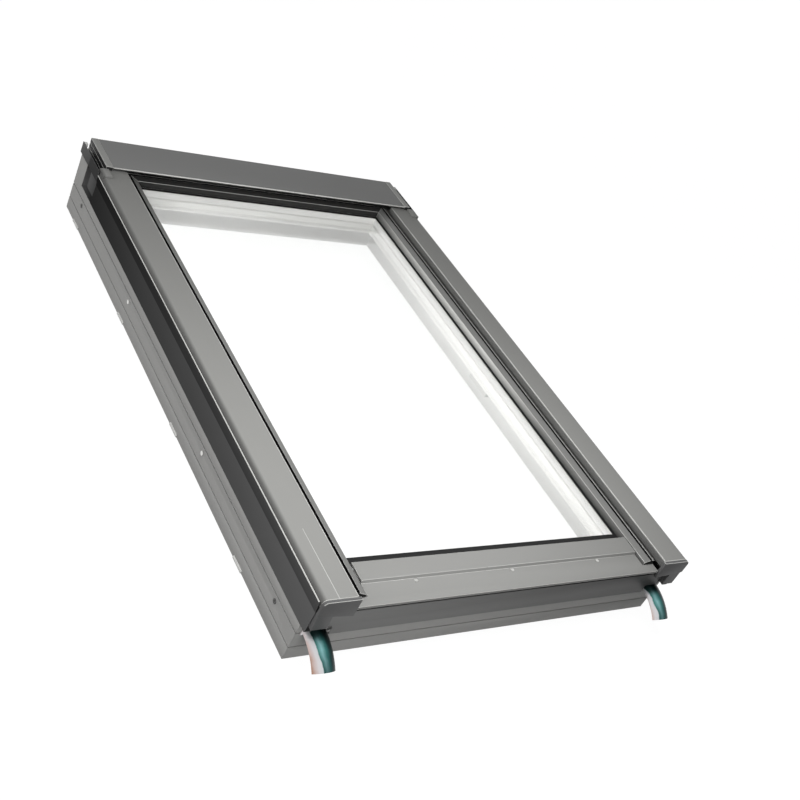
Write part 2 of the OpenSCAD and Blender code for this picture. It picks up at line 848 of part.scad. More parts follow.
// Glazing strip profile: a leaning inner face, a land, a drain groove and a rib
module strip_outline(edge, inward) {
    a = function (d) edge + inward * d;
    polygon([[a(strip_w), sash_top_z], [a(strip_w - strip_lean), strip_z - strip_drop],
             [a(strip_w - strip_lean - strip_land), strip_z],
             [a(strip_w - strip_lean - strip_land), strip_groove_z], [a(strip_rib), strip_groove_z],
             [a(strip_rib), strip_z], [a(0), strip_z], [a(0), sash_top_z]]);
}

module strip_hollow(edge, inward) {
    t = strip_t;
    a = function (d) edge + inward * d;
    polygon([[a(strip_w - t - 0.6), sash_top_z + t], [a(strip_w - strip_lean - t), strip_z - strip_drop - 1],
             [a(strip_w - strip_lean - strip_land + t), strip_z - t - 1],
             [a(strip_w - strip_lean - strip_land + t), strip_groove_z - t],
             [a(t), strip_groove_z - t], [a(t), sash_top_z + t]]);
}

module strip_profile(edge, inward) {
    difference() {
        strip_outline(edge, inward);
        strip_hollow(edge, inward);
    }
}

module glazing_strip(s) {
    side(s) {
        intersection() {
            along_y(strip_end_y, sash_y1) strip_profile(sx, -1);
            plan([[sx, strip_end_y], [sx, sash_y1], [strip_x, strip_y], [strip_x, strip_end_y]],
                 sash_top_z - 1, strip_z + 1);
        }
        along_y(strip_end_y - eps, strip_end_y + strip_plug) {
            strip_outline(sx, -1);
            translate([sx - strip_w + strip_lean + strip_land - 1, sash_top_z])
                square([strip_w - strip_lean - strip_land, strip_z - 1 - sash_top_z]);
        }
    }
}

module glazing_strip_left() { color(grey_alu) place() glazing_strip(-1); }
module glazing_strip_right() { color(grey_alu) place() glazing_strip(1); }

module glazing_strip_top() {
    color(grey_alu) place() intersection() {
        along_x(-sx, sx) strip_profile(sash_y1, -1);
        plan([[-sx, sash_y1], [sx, sash_y1], [strip_x, strip_y], [-strip_x, strip_y]],
             sash_top_z - 1, strip_z + 1);
    }
}

// Folded cover over the sash's lower edge, narrow between the strips and wide below them
module sash_bottom_cover() {
    h = sheet_t / 2;
    raised = [[cover_in_y + cover_foot, sash_top_z + h], [cover_in_y - h, sash_top_z + h],
              [cover_in_y - h, cover_raised_z - h], [cover_fold_y, cover_raised_z - h],
              [cover_fold_y - cover_step, cover_flat_z - h], [cover_wide_y + eps, cover_flat_z - h]];
    flat = [[cover_wide_y + eps, cover_flat_z - h], [cover_out_y + h, cover_flat_z - h],
            [cover_out_y + h, cover_flat_z - cover_lip_h]];
    color(grey_alu) place() {
        along_x(-cover_in_x, cover_in_x) folded(raised, sheet_t);
        along_x(-cover_out_x, cover_out_x) folded(flat, sheet_t);
    }
}

module cover_screws() {
    color(steel) place() for (i = [-1:1])
        translate([i * cover_screw_pitch, cover_screw_y, cover_flat_z])
            screw_head(cover_screw_r, cover_screw_h);
}

// Lock and handle

module lock_plate() {
    color(steel) place() {
        difference() {
            block([-lock_plate_x, lock_y - lock_plate_low, sash_z - lock_plate_t],
                  [lock_plate_x, lock_y + lock_plate_high, sash_z]);
            translate([0, lock_y, sash_z - lock_plate_t - 1])
                cylinder(r = spindle_r + run_gap, h = lock_plate_t + 2);
        }
        for (s = [-1, 1]) side(s)
            block([lock_guide_x, lock_y - lock_pocket_y + lock_fit, sash_z - eps],
                  [lock_pocket_x - lock_fit, lock_y + lock_pocket_y - lock_fit, bolt_z0 - bolt_play / 2]);
    }
}

module handle_rose() {
    color(white_pvc) place() translate([0, lock_y, rose_z]) difference() {
        cylinder(r1 = rose_r - rose_taper, r2 = rose_r, h = rose_t);
        translate([0, 0, -1]) cylinder(r = spindle_r + run_gap, h = rose_t + 2);
    }
}

module handle_lever() {
    hub_z = rose_z - rose_gap;
    tip_x = lever_l - lever_tip_r;
    color(white_pvc) place() translate([0, lock_y, 0]) difference() {
        union() {
            translate([0, 0, lever_z0]) cylinder(r = hub_r, h = hub_z - lever_z0);
            translate([0, 0, lever_z0]) linear_extrude(lever_t) {
                polygon([[0, -lever_root], [tip_x, -lever_tip_r], [tip_x, lever_tip_r], [0, lever_root]]);
                translate([tip_x, 0]) circle(lever_tip_r);
            }
        }
        translate([0, 0, lever_z0 + lever_t]) cylinder(r = spindle_r + run_gap, h = hub_z);
    }
}

// Spindle with the cam disc and the pin that drives the bolt
module handle_spindle() {
    color(steel) place() translate([0, lock_y, 0]) {
        translate([0, 0, lever_z0 + lever_t]) cylinder(r = spindle_r, h = cam_z - lever_z0 - lever_t + eps);
        translate([0, 0, cam_z]) cylinder(r = cam_r, h = cam_t);
        translate([-drive_r / sqrt(2), drive_r / sqrt(2), cam_z])
            cylinder(r = drive_pin_r, h = bolt_z1 - cam_z - bolt_play);
    }
}

// The bolt's plate has a cross slot for the drive pin, and its head leaves the rail towards the frame
module lock_bolt() {
    pin_y = lock_y + bolt_travel / 2;
    slot = drive_pin_r + bolt_play;
    color(steel) place() difference() {
        union() {
            block([-lock_pocket_x + 1, lock_y, bolt_z0], [lock_pocket_x - 1, lock_y + bolt_travel, bolt_z1]);
            block([-bolt_head_w / 2, sash_y0 + lock_fit, bolt_z0], [bolt_head_w / 2, lock_y + eps, bolt_z1]);
        }
        block([-drive_r - slot - bolt_play, pin_y - slot, bolt_z0 - 1],
              [-drive_r / sqrt(2) + slot + bolt_play, pin_y + slot, bolt_z1 + 1]);
    }
}

module striker_plate() {
    hx = bolt_head_w / 2;
    color(steel) place() difference() {
        block([-hx - striker_x, bottom_step_y, bolt_z0 - striker_low],
              [hx + striker_x, bottom_step_y + striker_t, bolt_z1 + striker_high]);
        block([-hx - striker_hole, bottom_step_y - 1, bolt_z0 - striker_hole],
              [hx + striker_hole, bottom_step_y + striker_t + 1, bolt_z1 + striker_hole]);
    }
}

frame_rail_left();
frame_rail_right();
frame_rail_top();
frame_rail_bottom();
side_gutter_left();
side_gutter_right();
front_cover();
side_cladding_left();
side_cladding_right();
cladding_cap_left();
cladding_cap_right();
cladding_tab_left();
cladding_tab_right();
top_hood();
hood_end_left();
hood_end_right();
hood_wing_left();
hood_wing_right();
weather_seal();
hinge_plate_left();
hinge_plate_right();
striker_plate();
apron_tongue_left();
apron_tongue_right();
edge_pads();
frame_screws();
sash_rail_left();
sash_rail_right();
sash_rail_top();
sash_rail_bottom();
outer_pane();
inner_pane();
pane_spacer();
outer_gasket();
inner_gasket();
glazing_strip_left();
glazing_strip_right();
glazing_strip_top();
sash_bottom_cover();
cover_screws();
hinge_arm_left();
hinge_arm_right();
lock_plate();
handle_rose();
handle_lever();
handle_spindle();
lock_bolt();
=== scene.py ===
# Dresses the centre-pivot roof window: edges, seals, screws, fittings and finishes.
import json
from math import radians, sin

import bpy
from mathutils import Matrix, Vector


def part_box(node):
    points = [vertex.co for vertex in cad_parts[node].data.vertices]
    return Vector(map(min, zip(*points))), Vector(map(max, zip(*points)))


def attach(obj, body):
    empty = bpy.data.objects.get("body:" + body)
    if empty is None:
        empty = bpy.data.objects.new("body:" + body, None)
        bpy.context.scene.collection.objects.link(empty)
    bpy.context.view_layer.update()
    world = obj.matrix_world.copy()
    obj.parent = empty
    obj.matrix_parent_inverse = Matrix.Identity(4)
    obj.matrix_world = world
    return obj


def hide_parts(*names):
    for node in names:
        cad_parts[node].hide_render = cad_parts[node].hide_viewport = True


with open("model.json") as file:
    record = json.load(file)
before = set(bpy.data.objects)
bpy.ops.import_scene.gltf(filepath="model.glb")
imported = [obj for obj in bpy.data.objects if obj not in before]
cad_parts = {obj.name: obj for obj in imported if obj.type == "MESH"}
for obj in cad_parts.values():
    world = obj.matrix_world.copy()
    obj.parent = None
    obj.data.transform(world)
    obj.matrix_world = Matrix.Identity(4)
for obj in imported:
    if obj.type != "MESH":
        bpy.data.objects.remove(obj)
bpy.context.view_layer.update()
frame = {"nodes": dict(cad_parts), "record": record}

bl_info = {
    "name": "Roof window dresser",
    "version": (1, 0, 0),
    "blender": (4, 5, 0),
    "location": "View3D > Sidebar > Roof window",
    "description": "Models the fittings and finishes of a centre-pivot roof window",
    "category": "Object",
}

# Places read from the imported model, in metres
rail_low, rail_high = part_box("frame_rail_left")
mid_y = (rail_low.y + rail_high.y) / 2
half_w = -rail_low.x
half_l = (rail_high.y - rail_low.y) / 2

# Side pieces with the direction that points away from the middle, and all four sides
SIDES = (("left", -1), ("right", 1))
AROUND = ("left", "right", "top", "bottom")

# A face whose normal reaches this far along an axis looks that way
FACING = 0.9


class SkylightSizes(bpy.types.PropertyGroup):
    edge: bpy.props.FloatProperty(
        name="Moulded edge", description="Rounding of moulded plastic edges",
        default=0.0008, unit="LENGTH")
    sheet_edge: bpy.props.FloatProperty(
        name="Sheet edge", description="Rounding of folded sheet edges",
        default=0.00035, unit="LENGTH")
    fold_edge: bpy.props.FloatProperty(
        name="Fold edge", description="Rounding of the claddings' outer bends",
        default=0.0007, unit="LENGTH")
    rail_edge: bpy.props.FloatProperty(
        name="Rail edge", description="Rounding of the rails, which also opens the mitre lines",
        default=0.0007, unit="LENGTH")
    lever_edge: bpy.props.FloatProperty(
        name="Lever edge", description="Rounding of the handle lever",
        default=0.0028, unit="LENGTH")
    hem_r: bpy.props.FloatProperty(
        name="Hem radius", description="Radius of the rolled hem on the side gutters",
        default=0.0011, unit="LENGTH")
    screw_r: bpy.props.FloatProperty(
        name="Screw radius", description="Radius of a screw head",
        default=0.0042, unit="LENGTH")
    screw_h: bpy.props.FloatProperty(
        name="Screw height", description="Height of a screw head",
        default=0.0018, unit="LENGTH")
    clip_l: bpy.props.FloatProperty(
        name="Clip length", description="Length of a clip in the glazing strips' groove",
        default=0.014, unit="LENGTH")
    clip_w: bpy.props.FloatProperty(
        name="Fin clip width", description="Width of the clips at the fins' upper ends",
        default=0.007, unit="LENGTH")
    hinge_plate: bpy.props.FloatProperty(
        name="Hinge plate", description="Thickness of the hinge plates on the frame",
        default=0.012, unit="LENGTH")
    line_r: bpy.props.FloatProperty(
        name="Line radius", description="Radius of the raised lines along the claddings",
        default=0.0008, unit="LENGTH")
    cap_edge: bpy.props.FloatProperty(
        name="Cap edge", description="Rounding of the cladding end caps",
        default=0.0006, unit="LENGTH")
    # Painted shadow: a black rubber bead under the bottom cover's lip stands for the shadow line under
    # it
    lip_shadow_r: bpy.props.FloatProperty(
        name="Drip seal radius", description="Radius of the rubber under the bottom cover's lip",
        default=0.0018, unit="LENGTH")
    eyelet_r: bpy.props.FloatProperty(
        name="Eyelet radius", description="Radius of the rim round a bracket hole",
        default=0.0046, unit="LENGTH")


class SkylightColours(bpy.types.PropertyGroup):
    frame_grey: bpy.props.FloatVectorProperty(
        name="Frame grey", description="Foil on the frame's outer faces",
        subtype="COLOR", default=(0.41, 0.408, 0.398))
    room_white: bpy.props.FloatVectorProperty(
        name="Room white", description="Plastic on the room side",
        subtype="COLOR", default=(0.9, 0.9, 0.885))
    cladding: bpy.props.FloatVectorProperty(
        name="Cladding grey", description="Coating of the side claddings",
        subtype="COLOR", default=(0.275, 0.275, 0.265))
    cover: bpy.props.FloatVectorProperty(
        name="Cover grey", description="Coating of the sash's bottom cover",
        subtype="COLOR", default=(0.275, 0.275, 0.266))
    hood: bpy.props.FloatVectorProperty(
        name="Hood grey", description="Coating of the top hood",
        subtype="COLOR", default=(0.215, 0.216, 0.213))
    strip: bpy.props.FloatVectorProperty(
        name="Strip grey", description="Coating of the glazing strips",
        subtype="COLOR", default=(0.2, 0.2, 0.194))
    # Painted shade: the claddings' inner walls get a darker grey that stands for the shade in the
    # narrow gap beside the strips
    inner_wall: bpy.props.FloatVectorProperty(
        name="Inner wall grey", description="Coating of the claddings' inner walls",
        subtype="COLOR", default=(0.15, 0.15, 0.146))
    # Painted highlight: the light grey given to the side strips' inner facet stands for the light it
    # catches
    facet: bpy.props.FloatVectorProperty(
        name="Strip facet", description="Bare metal on the side strips' inner facet",
        subtype="COLOR", default=(0.5, 0.5, 0.485))
    # Painted shadow: the top glazing strip is coloured near black for the hood's shadow over it
    dark_strip: bpy.props.FloatVectorProperty(
        name="Top strip grey", description="Dark coating of the top glazing strip",
        subtype="COLOR", default=(0.035, 0.035, 0.034))
    front: bpy.props.FloatVectorProperty(
        name="Front grey", description="Coating of the front cover",
        subtype="COLOR", default=(0.125, 0.125, 0.123))
    cap: bpy.props.FloatVectorProperty(
        name="Cap grey", description="Plastic of the cladding end caps",
        subtype="COLOR", default=(0.115, 0.115, 0.115))
    dark: bpy.props.FloatVectorProperty(
        name="Gutter grey", description="Coating of the side gutters and fins",
        subtype="COLOR", default=(0.03, 0.03, 0.03))
    # Painted highlight: this light grey on rounded edges, hems and raised lines stands in for the glint
    # of light along them
    bright: bpy.props.FloatVectorProperty(
        name="Edge light", description="Thin coating on folded and rolled edges",
        subtype="COLOR", default=(0.62, 0.62, 0.6))
    rubber: bpy.props.FloatVectorProperty(
        name="Rubber black", description="Gaskets and seals",
        subtype="COLOR", default=(0.012, 0.012, 0.012))


# Modelling helpers

def sizes():
    return bpy.context.scene.skylight_sizes


def colours():
    return bpy.context.scene.skylight_colours


def mode(name):
    bpy.ops.object.mode_set(mode=name)


def nothing_selected():
    """Leaves edit mode and deselects everything."""
    if bpy.context.object and bpy.context.object.mode != "OBJECT":
        mode("OBJECT")
    bpy.ops.object.select_all(action="DESELECT")


def only(piece):
    """Selects one piece and makes it active."""
    nothing_selected()
    piece.select_set(True)
    bpy.context.view_layer.objects.active = piece


def named(name):
    """Names the active piece and its mesh."""
    piece = bpy.context.object
    piece.name = name
    piece.data.name = name
    return piece


def placed():
    """Puts the place and turn of the selected piece in its mesh."""
    bpy.ops.object.transform_apply(location=True, rotation=True, scale=True)


def started(name):
    """Names the primitive that was just added and puts its place in its mesh."""
    piece = named(name)
    placed()
    return piece


def start_block(name, low, high):
    nothing_selected()
    low, high = Vector(low), Vector(high)
    bpy.ops.mesh.primitive_cube_add(size=1, location=(low + high) / 2, scale=high - low)
    return started(name)


def start_disc(name, radius, vertices, location, turn=(0, 0, 0)):
    nothing_selected()
    bpy.ops.mesh.primitive_circle_add(vertices=vertices, radius=radius, fill_type="NGON",
                                      location=location, rotation=turn)
    return started(name)


def pick_faces(piece, wanted):
    """Opens the piece in edit mode with only the wanted faces selected."""
    only(piece)
    mode("EDIT")
    bpy.ops.mesh.select_mode(type="FACE")
    bpy.ops.mesh.select_all(action="DESELECT")
    mode("OBJECT")
    for face in piece.data.polygons:
        face.select = wanted(face)
    mode("EDIT")


def pick_all(piece):
    only(piece)
    mode("EDIT")
    bpy.ops.mesh.select_all(action="SELECT")


def pull(move):
    """Extrudes the selected faces by a move."""
    bpy.ops.mesh.extrude_region_move(TRANSFORM_OT_translate={"value": move})


def closed(piece):
    """Merges doubles and turns the faces outwards."""
    pick_all(piece)
    bpy.ops.mesh.remove_doubles(threshold=1e-6)
    bpy.ops.mesh.normals_make_consistent(inside=False)
    mode("OBJECT")


def rounded(piece, width, segments=2, angle=35, edge_slot=0):
    """Bevels the sharp edges with an applied modifier and shades the piece smooth."""
    smooth_below = radians(38)
    only(piece)
    bevel = piece.modifiers.new("edge rounding", "BEVEL")
    bevel.width = width
    bevel.segments = segments
    bevel.limit_method = "ANGLE"
    bevel.angle_limit = radians(angle)
    bevel.use_clamp_overlap = True
    bevel.material = edge_slot
    bpy.ops.object.modifier_apply(modifier=bevel.name)
    bpy.ops.object.shade_smooth_by_angle(angle=smooth_below)


def copied(node, name):
    """A closed copy of a node's solid, with its flat faces whole, as the start of a piece."""
    flat = radians(0.4)
    mesh = frame["nodes"][node].data.copy()
    mesh.name = name
    piece = bpy.data.objects.new(name, mesh)
    bpy.context.scene.collection.objects.link(piece)
    pick_all(piece)
    bpy.ops.mesh.remove_doubles(threshold=2e-6)
    bpy.ops.mesh.dissolve_limited(angle_limit=flat)
    mode("OBJECT")
    return piece


def only_finish(piece, material):
    """Gives a piece or a node one material all over."""
    piece.data.materials.clear()
    piece.data.materials.append(material)


def dressed(node, name, width, segments, material, body, edge=None):
    """A rounded copy of a node that stands for it, with a finish on its edges if one is given."""
    piece = copied(node, name)
    only_finish(piece, material)
    if edge:
        piece.data.materials.append(edge)
    rounded(piece, width, segments, edge_slot=1 if edge else 0)
    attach(piece, body)
    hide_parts(node)
    return piece


def recoated(piece, material, wanted):
    """Gives the faces that pass a test another finish."""
    materials = piece.data.materials
    if material.name not in materials:
        materials.append(material)
    slot = materials.find(material.name)
    for face in piece.data.polygons:
        if wanted(face):
            face.material_index = slot


def finished(piece, material, body):
    """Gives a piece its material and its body."""
    only_finish(piece, material)
    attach(piece, body)


def bead(name, radius, start, end, vertices=14):
    """A round rod with domed ends between two points along X or Y."""
    dome, dome_angle = radius * 0.35, 50
    start, end = Vector(start), Vector(end)
    run = end - start
    turn = (0, radians(90), 0) if abs(run.x) > abs(run.y) else (radians(90), 0, 0)
    piece = start_disc(name, radius, vertices, start, turn)
    pick_all(piece)
    pull(run)
    mode("OBJECT")
    closed(piece)
    rounded(piece, dome, 2, dome_angle)
    return piece


def clip(name, low, high, rim, rise, edge):
    """A block with a narrower raised top and rounded edges."""
    piece = start_block(name, low, high)
    pick_faces(piece, lambda f: f.normal.z > FACING)
    bpy.ops.mesh.inset(thickness=rim, depth=0)
    pull((0, 0, rise))
    mode("OBJECT")
    rounded(piece, edge)
    return piece


def screw(name, radius, height, foot, turn):
    """A pan head with a cross outlined in its flat top, modelled upright and turned to its seat."""
    rim_h = height / 1.3
    arm_spread, arm_waist = 0.62, 0.34
    nothing_selected()
    bpy.ops.mesh.primitive_cylinder_add(vertices=32, radius=radius, depth=rim_h,
                                        location=(0, 0, rim_h / 2))
    piece = started(name)
    pick_faces(piece, lambda f: f.normal.z > FACING)
    for inward, rise in ((0.22, 0.22), (0.2, 0.08), (0.06, 0)):
        bpy.ops.mesh.inset(thickness=radius * inward, depth=rim_h * rise)
    mode("OBJECT")
    top = next(f for f in piece.data.polygons
               if f.normal.z > 0.99 and f.center.xy.length < radius * 0.01)
    for i in top.vertices:
        point = piece.data.vertices[i].co
        around = Vector(point.xy).angle_signed(Vector((1, 0)))
        if abs(sin(2 * around)) > arm_spread:
            point.xy *= arm_waist
    piece.location = foot
    piece.rotation_euler = turn
    only(piece)
    placed()
    bpy.ops.object.shade_smooth_by_angle(angle=radians(30))
    return piece


def joined(pieces, name):
    """Joins like pieces into one."""
    nothing_selected()
    for piece in pieces:
        piece.select_set(True)
    bpy.context.view_layer.objects.active = pieces[0]
    bpy.ops.object.join()
    return named(name)


def near_and_far(low, high):
    """How far the inner and outer faces of a side piece's box are from the middle."""
    return sorted((abs(low.x), abs(high.x)))


# Shader node helpers

def feed(tree, socket, value):
    """Links a socket to a node's output, or sets its value."""
    if isinstance(value, bpy.types.NodeSocket):
        tree.links.new(value, socket)
    else:
        socket.default_value = value


def add(tree, kind, inputs=None, **settings):
    """Adds a shader node with its settings and then its inputs."""
    node = tree.nodes.new("ShaderNode" + kind)
    for name, value in settings.items():
        setattr(node, name, value)
    for key, value in (inputs or {}).items():
        feed(tree, node.inputs[key], value)
    return node


def maths(tree, operation, *values):
    return add(tree, "Math", dict(enumerate(values)), operation=operation).outputs[0]


def blended(tree, factor, first, second, how="MIX"):
    """Blends two colours and gives the result."""
    mix = add(tree, "Mix", {"Factor": factor, "A": first, "B": second},
              data_type="RGBA", blend_type=how)
    return mix.outputs["Result"]


def share(tree, value, low, high, **settings):
    """How far a value is from one limit to another, from 0 to 1."""
    limits = {"Value": value, "From Min": low, "From Max": high}
    return add(tree, "MapRange", limits, **settings).outputs["Result"]


def rgba(value):
    """A colour or a grey level as four numbers."""
    return (value, value, value, 1) if isinstance(value, (int, float)) else (*value, 1)


def scaled(colour, factor):
    return rgba([factor * part for part in colour])


def ramp(tree, part, stops):
    """A colour ramp with stops of a place and a colour or grey level."""
    node = add(tree, "ValToRGB", {"Fac": part})
    elements = node.color_ramp.elements
    for element, (place, value) in zip(elements, (stops[0], stops[-1])):
        element.position = place
        element.color = rgba(value)
    for place, value in stops[1:-1]:
        elements.new(place).color = rgba(value)
    return node.outputs["Color"]


def noise(tree, place, scale, detail):
    return add(tree, "TexNoise", {"Vector": place, "Scale": scale, "Detail": detail}).outputs["Fac"]


def point_on(tree):
    """X, Y and Z of a point on the piece."""
    place = add(tree, "TexCoord").outputs["Object"]
    return add(tree, "SeparateXYZ", {"Vector": place}).outputs


def shade_by_height(tree, low_z, high_z, below, above):
    """One colour below a height and another above it."""
    return blended(tree, share(tree, point_on(tree)["Z"], low_z, high_z), below, above)


def fade_along(tree, colour, axis, start, end, levels):
    """Scales a colour by the levels at parts of a length."""
    part = share(tree, point_on(tree)[axis], start, end)
    return blended(tree, 1, colour, ramp(tree, part, levels), "MULTIPLY")


def seen(tree, strength, rest):
    """A strength for camera, glossy and transmission rays, and at least the rest for all."""
    rays = add(tree, "LightPath").outputs
    direct = maths(tree, "MAXIMUM", rays["Is Camera Ray"], rays["Is Glossy Ray"])
    total = maths(tree, "MAXIMUM", direct, rays["Is Transmission Ray"])
    return maths(tree, "MAXIMUM", maths(tree, "MULTIPLY", total, strength), rest)


# Shared skin of coated, moulded and drawn surfaces

def skin_group():
    """A soft colour drift, fine grain and lines along the profile, as a node group."""
    name = "skin drift and grain"
    found = bpy.data.node_groups.get(name)
    if found:
        return found
    drift_scale, rough_swing = 3.5, 0.16
    line_stretch = (900, 6, 900)
    group = bpy.data.node_groups.new(name, "ShaderNodeTree")
    for label, kind, default in (
            ("Colour", "NodeSocketColor", (0.5, 0.5, 0.5, 1)), ("Drift", "NodeSocketFloat", 0.06),
            ("Roughness", "NodeSocketFloat", 0.4), ("Grain scale", "NodeSocketFloat", 900.0),
            ("Lines", "NodeSocketFloat", 0.0)):
        socket = group.interface.new_socket(name=label, in_out="INPUT", socket_type=kind)
        socket.default_value = default
    for label, kind in (("Colour", "NodeSocketColor"), ("Roughness", "NodeSocketFloat"),
                        ("Height", "NodeSocketFloat")):
        group.interface.new_socket(name=label, in_out="OUTPUT", socket_type=kind)
    given = group.nodes.new("NodeGroupInput").outputs
    out = group.nodes.new("NodeGroupOutput").inputs
    place = add(group, "TexCoord").outputs["Object"]
    swing = maths(group, "SUBTRACT", noise(group, place, drift_scale, 4), 0.5)
    amount = maths(group, "MULTIPLY", swing, given["Drift"])
    gain = maths(group, "ADD", maths(group, "MULTIPLY", amount, 2), 1)
    feed(group, out["Colour"], blended(group, 1, given["Colour"], gain, "MULTIPLY"))
    rough = maths(group, "MULTIPLY", swing, rough_swing)
    feed(group, out["Roughness"], maths(group, "ADD", given["Roughness"], rough))
    grain = noise(group, place, given["Grain scale"], 2)
    stretch = add(group, "Mapping", {"Vector": place, "Scale": line_stretch}).outputs["Vector"]
    ridges = maths(group, "MULTIPLY", noise(group, stretch, 1, 1), given["Lines"])
    feed(group, out["Height"], maths(group, "ADD", grain, ridges))
    return group


def skin_node(tree, colour, roughness, drift, grain, lines):
    return add(tree, "Group", {"Colour": rgba(colour), "Drift": drift, "Roughness": roughness,
                               "Grain scale": grain, "Lines": lines}, node_tree=skin_group())


def coat(name, colour, roughness, metallic=0.0, drift=0.06, grain=900.0, lines=0.0, bump=0.03,
         shine=0.1):
    """A material over the shared skin, with its node tree and its skin node."""
    bump_depth = 0.0006
    material = bpy.data.materials.new(name)
    material.use_nodes = True
    tree = material.node_tree
    skin = skin_node(tree, colour, roughness, drift, grain, lines)
    height = add(tree, "Bump", {"Strength": bump, "Distance": bump_depth,
                                "Height": skin.outputs["Height"]})
    shader = tree.nodes["Principled BSDF"].inputs
    feed(tree, shader["Normal"], height.outputs["Normal"])
    feed(tree, shader["Base Color"], skin.outputs["Colour"])
    feed(tree, shader["Roughness"], skin.outputs["Roughness"])
    feed(tree, shader["Metallic"], metallic)
    feed(tree, shader["Specular IOR Level"], shine)
    return material, tree, skin


# Colours that change over a surface. Each gives what the skin is fed instead of its plain colour.

def film_colour_and_painted_light(tree, colour):
    """A warm film on one flank that turns teal and dark green on the other, with a painted highlight
    and painted shade across the curve and painted shade towards both ends.
    """
    cloud_scale, cloud_part, slant = 55, 0.16, 0.2
    teal_start, teal_end = 0.44, 0.48
    # The warm and teal tones are the film; the lighter teal band is a painted highlight and the
    # darkening to green and black is painted shade
    flank = ((0.14, (0.42, 0.24, 0.17)), (0.23, (0.58, 0.46, 0.43)), (0.33, (0.66, 0.63, 0.64)),
             (0.44, (0.62, 0.64, 0.66)), (0.47, (0.06, 0.21, 0.19)), (0.6, (0.24, 0.48, 0.49)),
             (0.76, (0.05, 0.19, 0.18)), (0.9, (0.014, 0.055, 0.055)), (1, (0.01, 0.03, 0.03)))
    # Painted shade towards the root and the tip
    length = ((0, 0.3), (0.2, 0.6), (0.42, 1), (0.6, 0.8), (0.78, 0.2), (1, 0.1))
    place = add(tree, "TexCoord").outputs
    uv = add(tree, "SeparateXYZ", {"Vector": place["UV"]}).outputs
    lean = maths(tree, "MULTIPLY_ADD", uv["Y"], slant, -slant / 2)
    cloud = noise(tree, place["Object"], cloud_scale, 3)
    across = maths(tree, "MULTIPLY_ADD", cloud, cloud_part, maths(tree, "ADD", uv["X"], lean))
    teal = share(tree, across, teal_start, teal_end)
    return blended(tree, teal, ramp(tree, across, flank), ramp(tree, uv["Y"], length), "MULTIPLY")


def cladding_colour_with_edge_shade(tree, colour):
    """Painted shade: darker round the outer edge, where the gutter wall shades the rounded edge."""
    edge_shade_start, edge_shade_end, edge_shade_level = half_w - 0.009, half_w - 0.002, 0.5
    out = maths(tree, "ABSOLUTE", point_on(tree)["X"])
    # Painted shade towards the outer edge
    rim = share(tree, out, edge_shade_start, edge_shade_end, interpolation_type="SMOOTHSTEP")
    return blended(tree, rim, rgba(colour), scaled(colour, edge_shade_level))


def hood_end_painted_light(tree, colour):
    """Painted highlight on top and painted shade down the sides."""
    side_drop, top_drop, painted_highlight_level = 0.0016, 0.0008, 1.1
    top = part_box("hood_end_left")[1].z
    # Painted shade below the top edge, painted highlight on top
    return shade_by_height(tree, top - side_drop, top - top_drop, rgba(colours().dark),
                           scaled(colour, painted_highlight_level))


def front_colour_with_painted_shade(tree, colour):
    """Painted shade: duller towards the right end and lower down the face."""
    low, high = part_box("front_cover")
    face = shade_by_height(tree, low.z, high.z, scaled(colour, 1.6), scaled(colour, 1.9))
    # Painted shade fading towards the right end
    return fade_along(tree, face, "X", low.x, high.x, ((0, 1), (0.5, 0.7), (1, 0.2)))


def gutter_colour_with_painted_light(tree, colour):
    """Painted shade, deeper on the overhanging upper leg and towards the upper end, and painted light
    again where it is open at the upper end.
    """
    bend_part, bend_h = 0.66, 0.001
    opening_l, opening_edge = 0.062, 0.004
    low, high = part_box("side_gutter_left")
    bend = low.z + (high.z - low.z) * bend_part
    opening = 1 - opening_l / (high.y - low.y)
    # Painted shade on the upper leg
    painted_shade_legs = shade_by_height(tree, bend, bend + bend_h, scaled(colour, 5.4), scaled(colour, 2.7))
    # Painted light at the lower end, fading into painted shade, and lighter again at the open upper end
    return fade_along(tree, painted_shade_legs, "Y", low.y, high.y, (
        (0, 1), (opening, 0.25), (opening + opening_edge, 0.35), (1, 0.9)))


def fin_colour_with_painted_shade(tree, colour):
    """Dark, with painted shade lower down and over the lower half of its length, so it turns grey
    towards the upper end.
    """
    low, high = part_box("hood_wing_left")
    # Painted shade lower down the fin
    face = shade_by_height(tree, low.z, high.z, scaled(colour, 3.5), scaled(colour, 5.0))
    # Painted shade over the lower half of the length
    return fade_along(tree, face, "Y", low.y, high.y, (
        (0, 0.15), (0.48, 0.18), (0.54, 0.65), (1, 1)))


def facet_painted_light(tree, colour):
    """Painted highlight, brightest midway along, with painted shade towards the pane and towards both
    ends.
    """
    low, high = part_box("glazing_strip_right")
    face = shade_by_height(tree, low.z, high.z, scaled(colour, 0.55), scaled(colour, 1.7))
    return fade_along(tree, face, "Y", low.y, high.y, (
        (0, 0.2), (0.3, 0.36), (0.52, 1), (0.68, 1), (0.85, 0.8), (1, 0.3)))


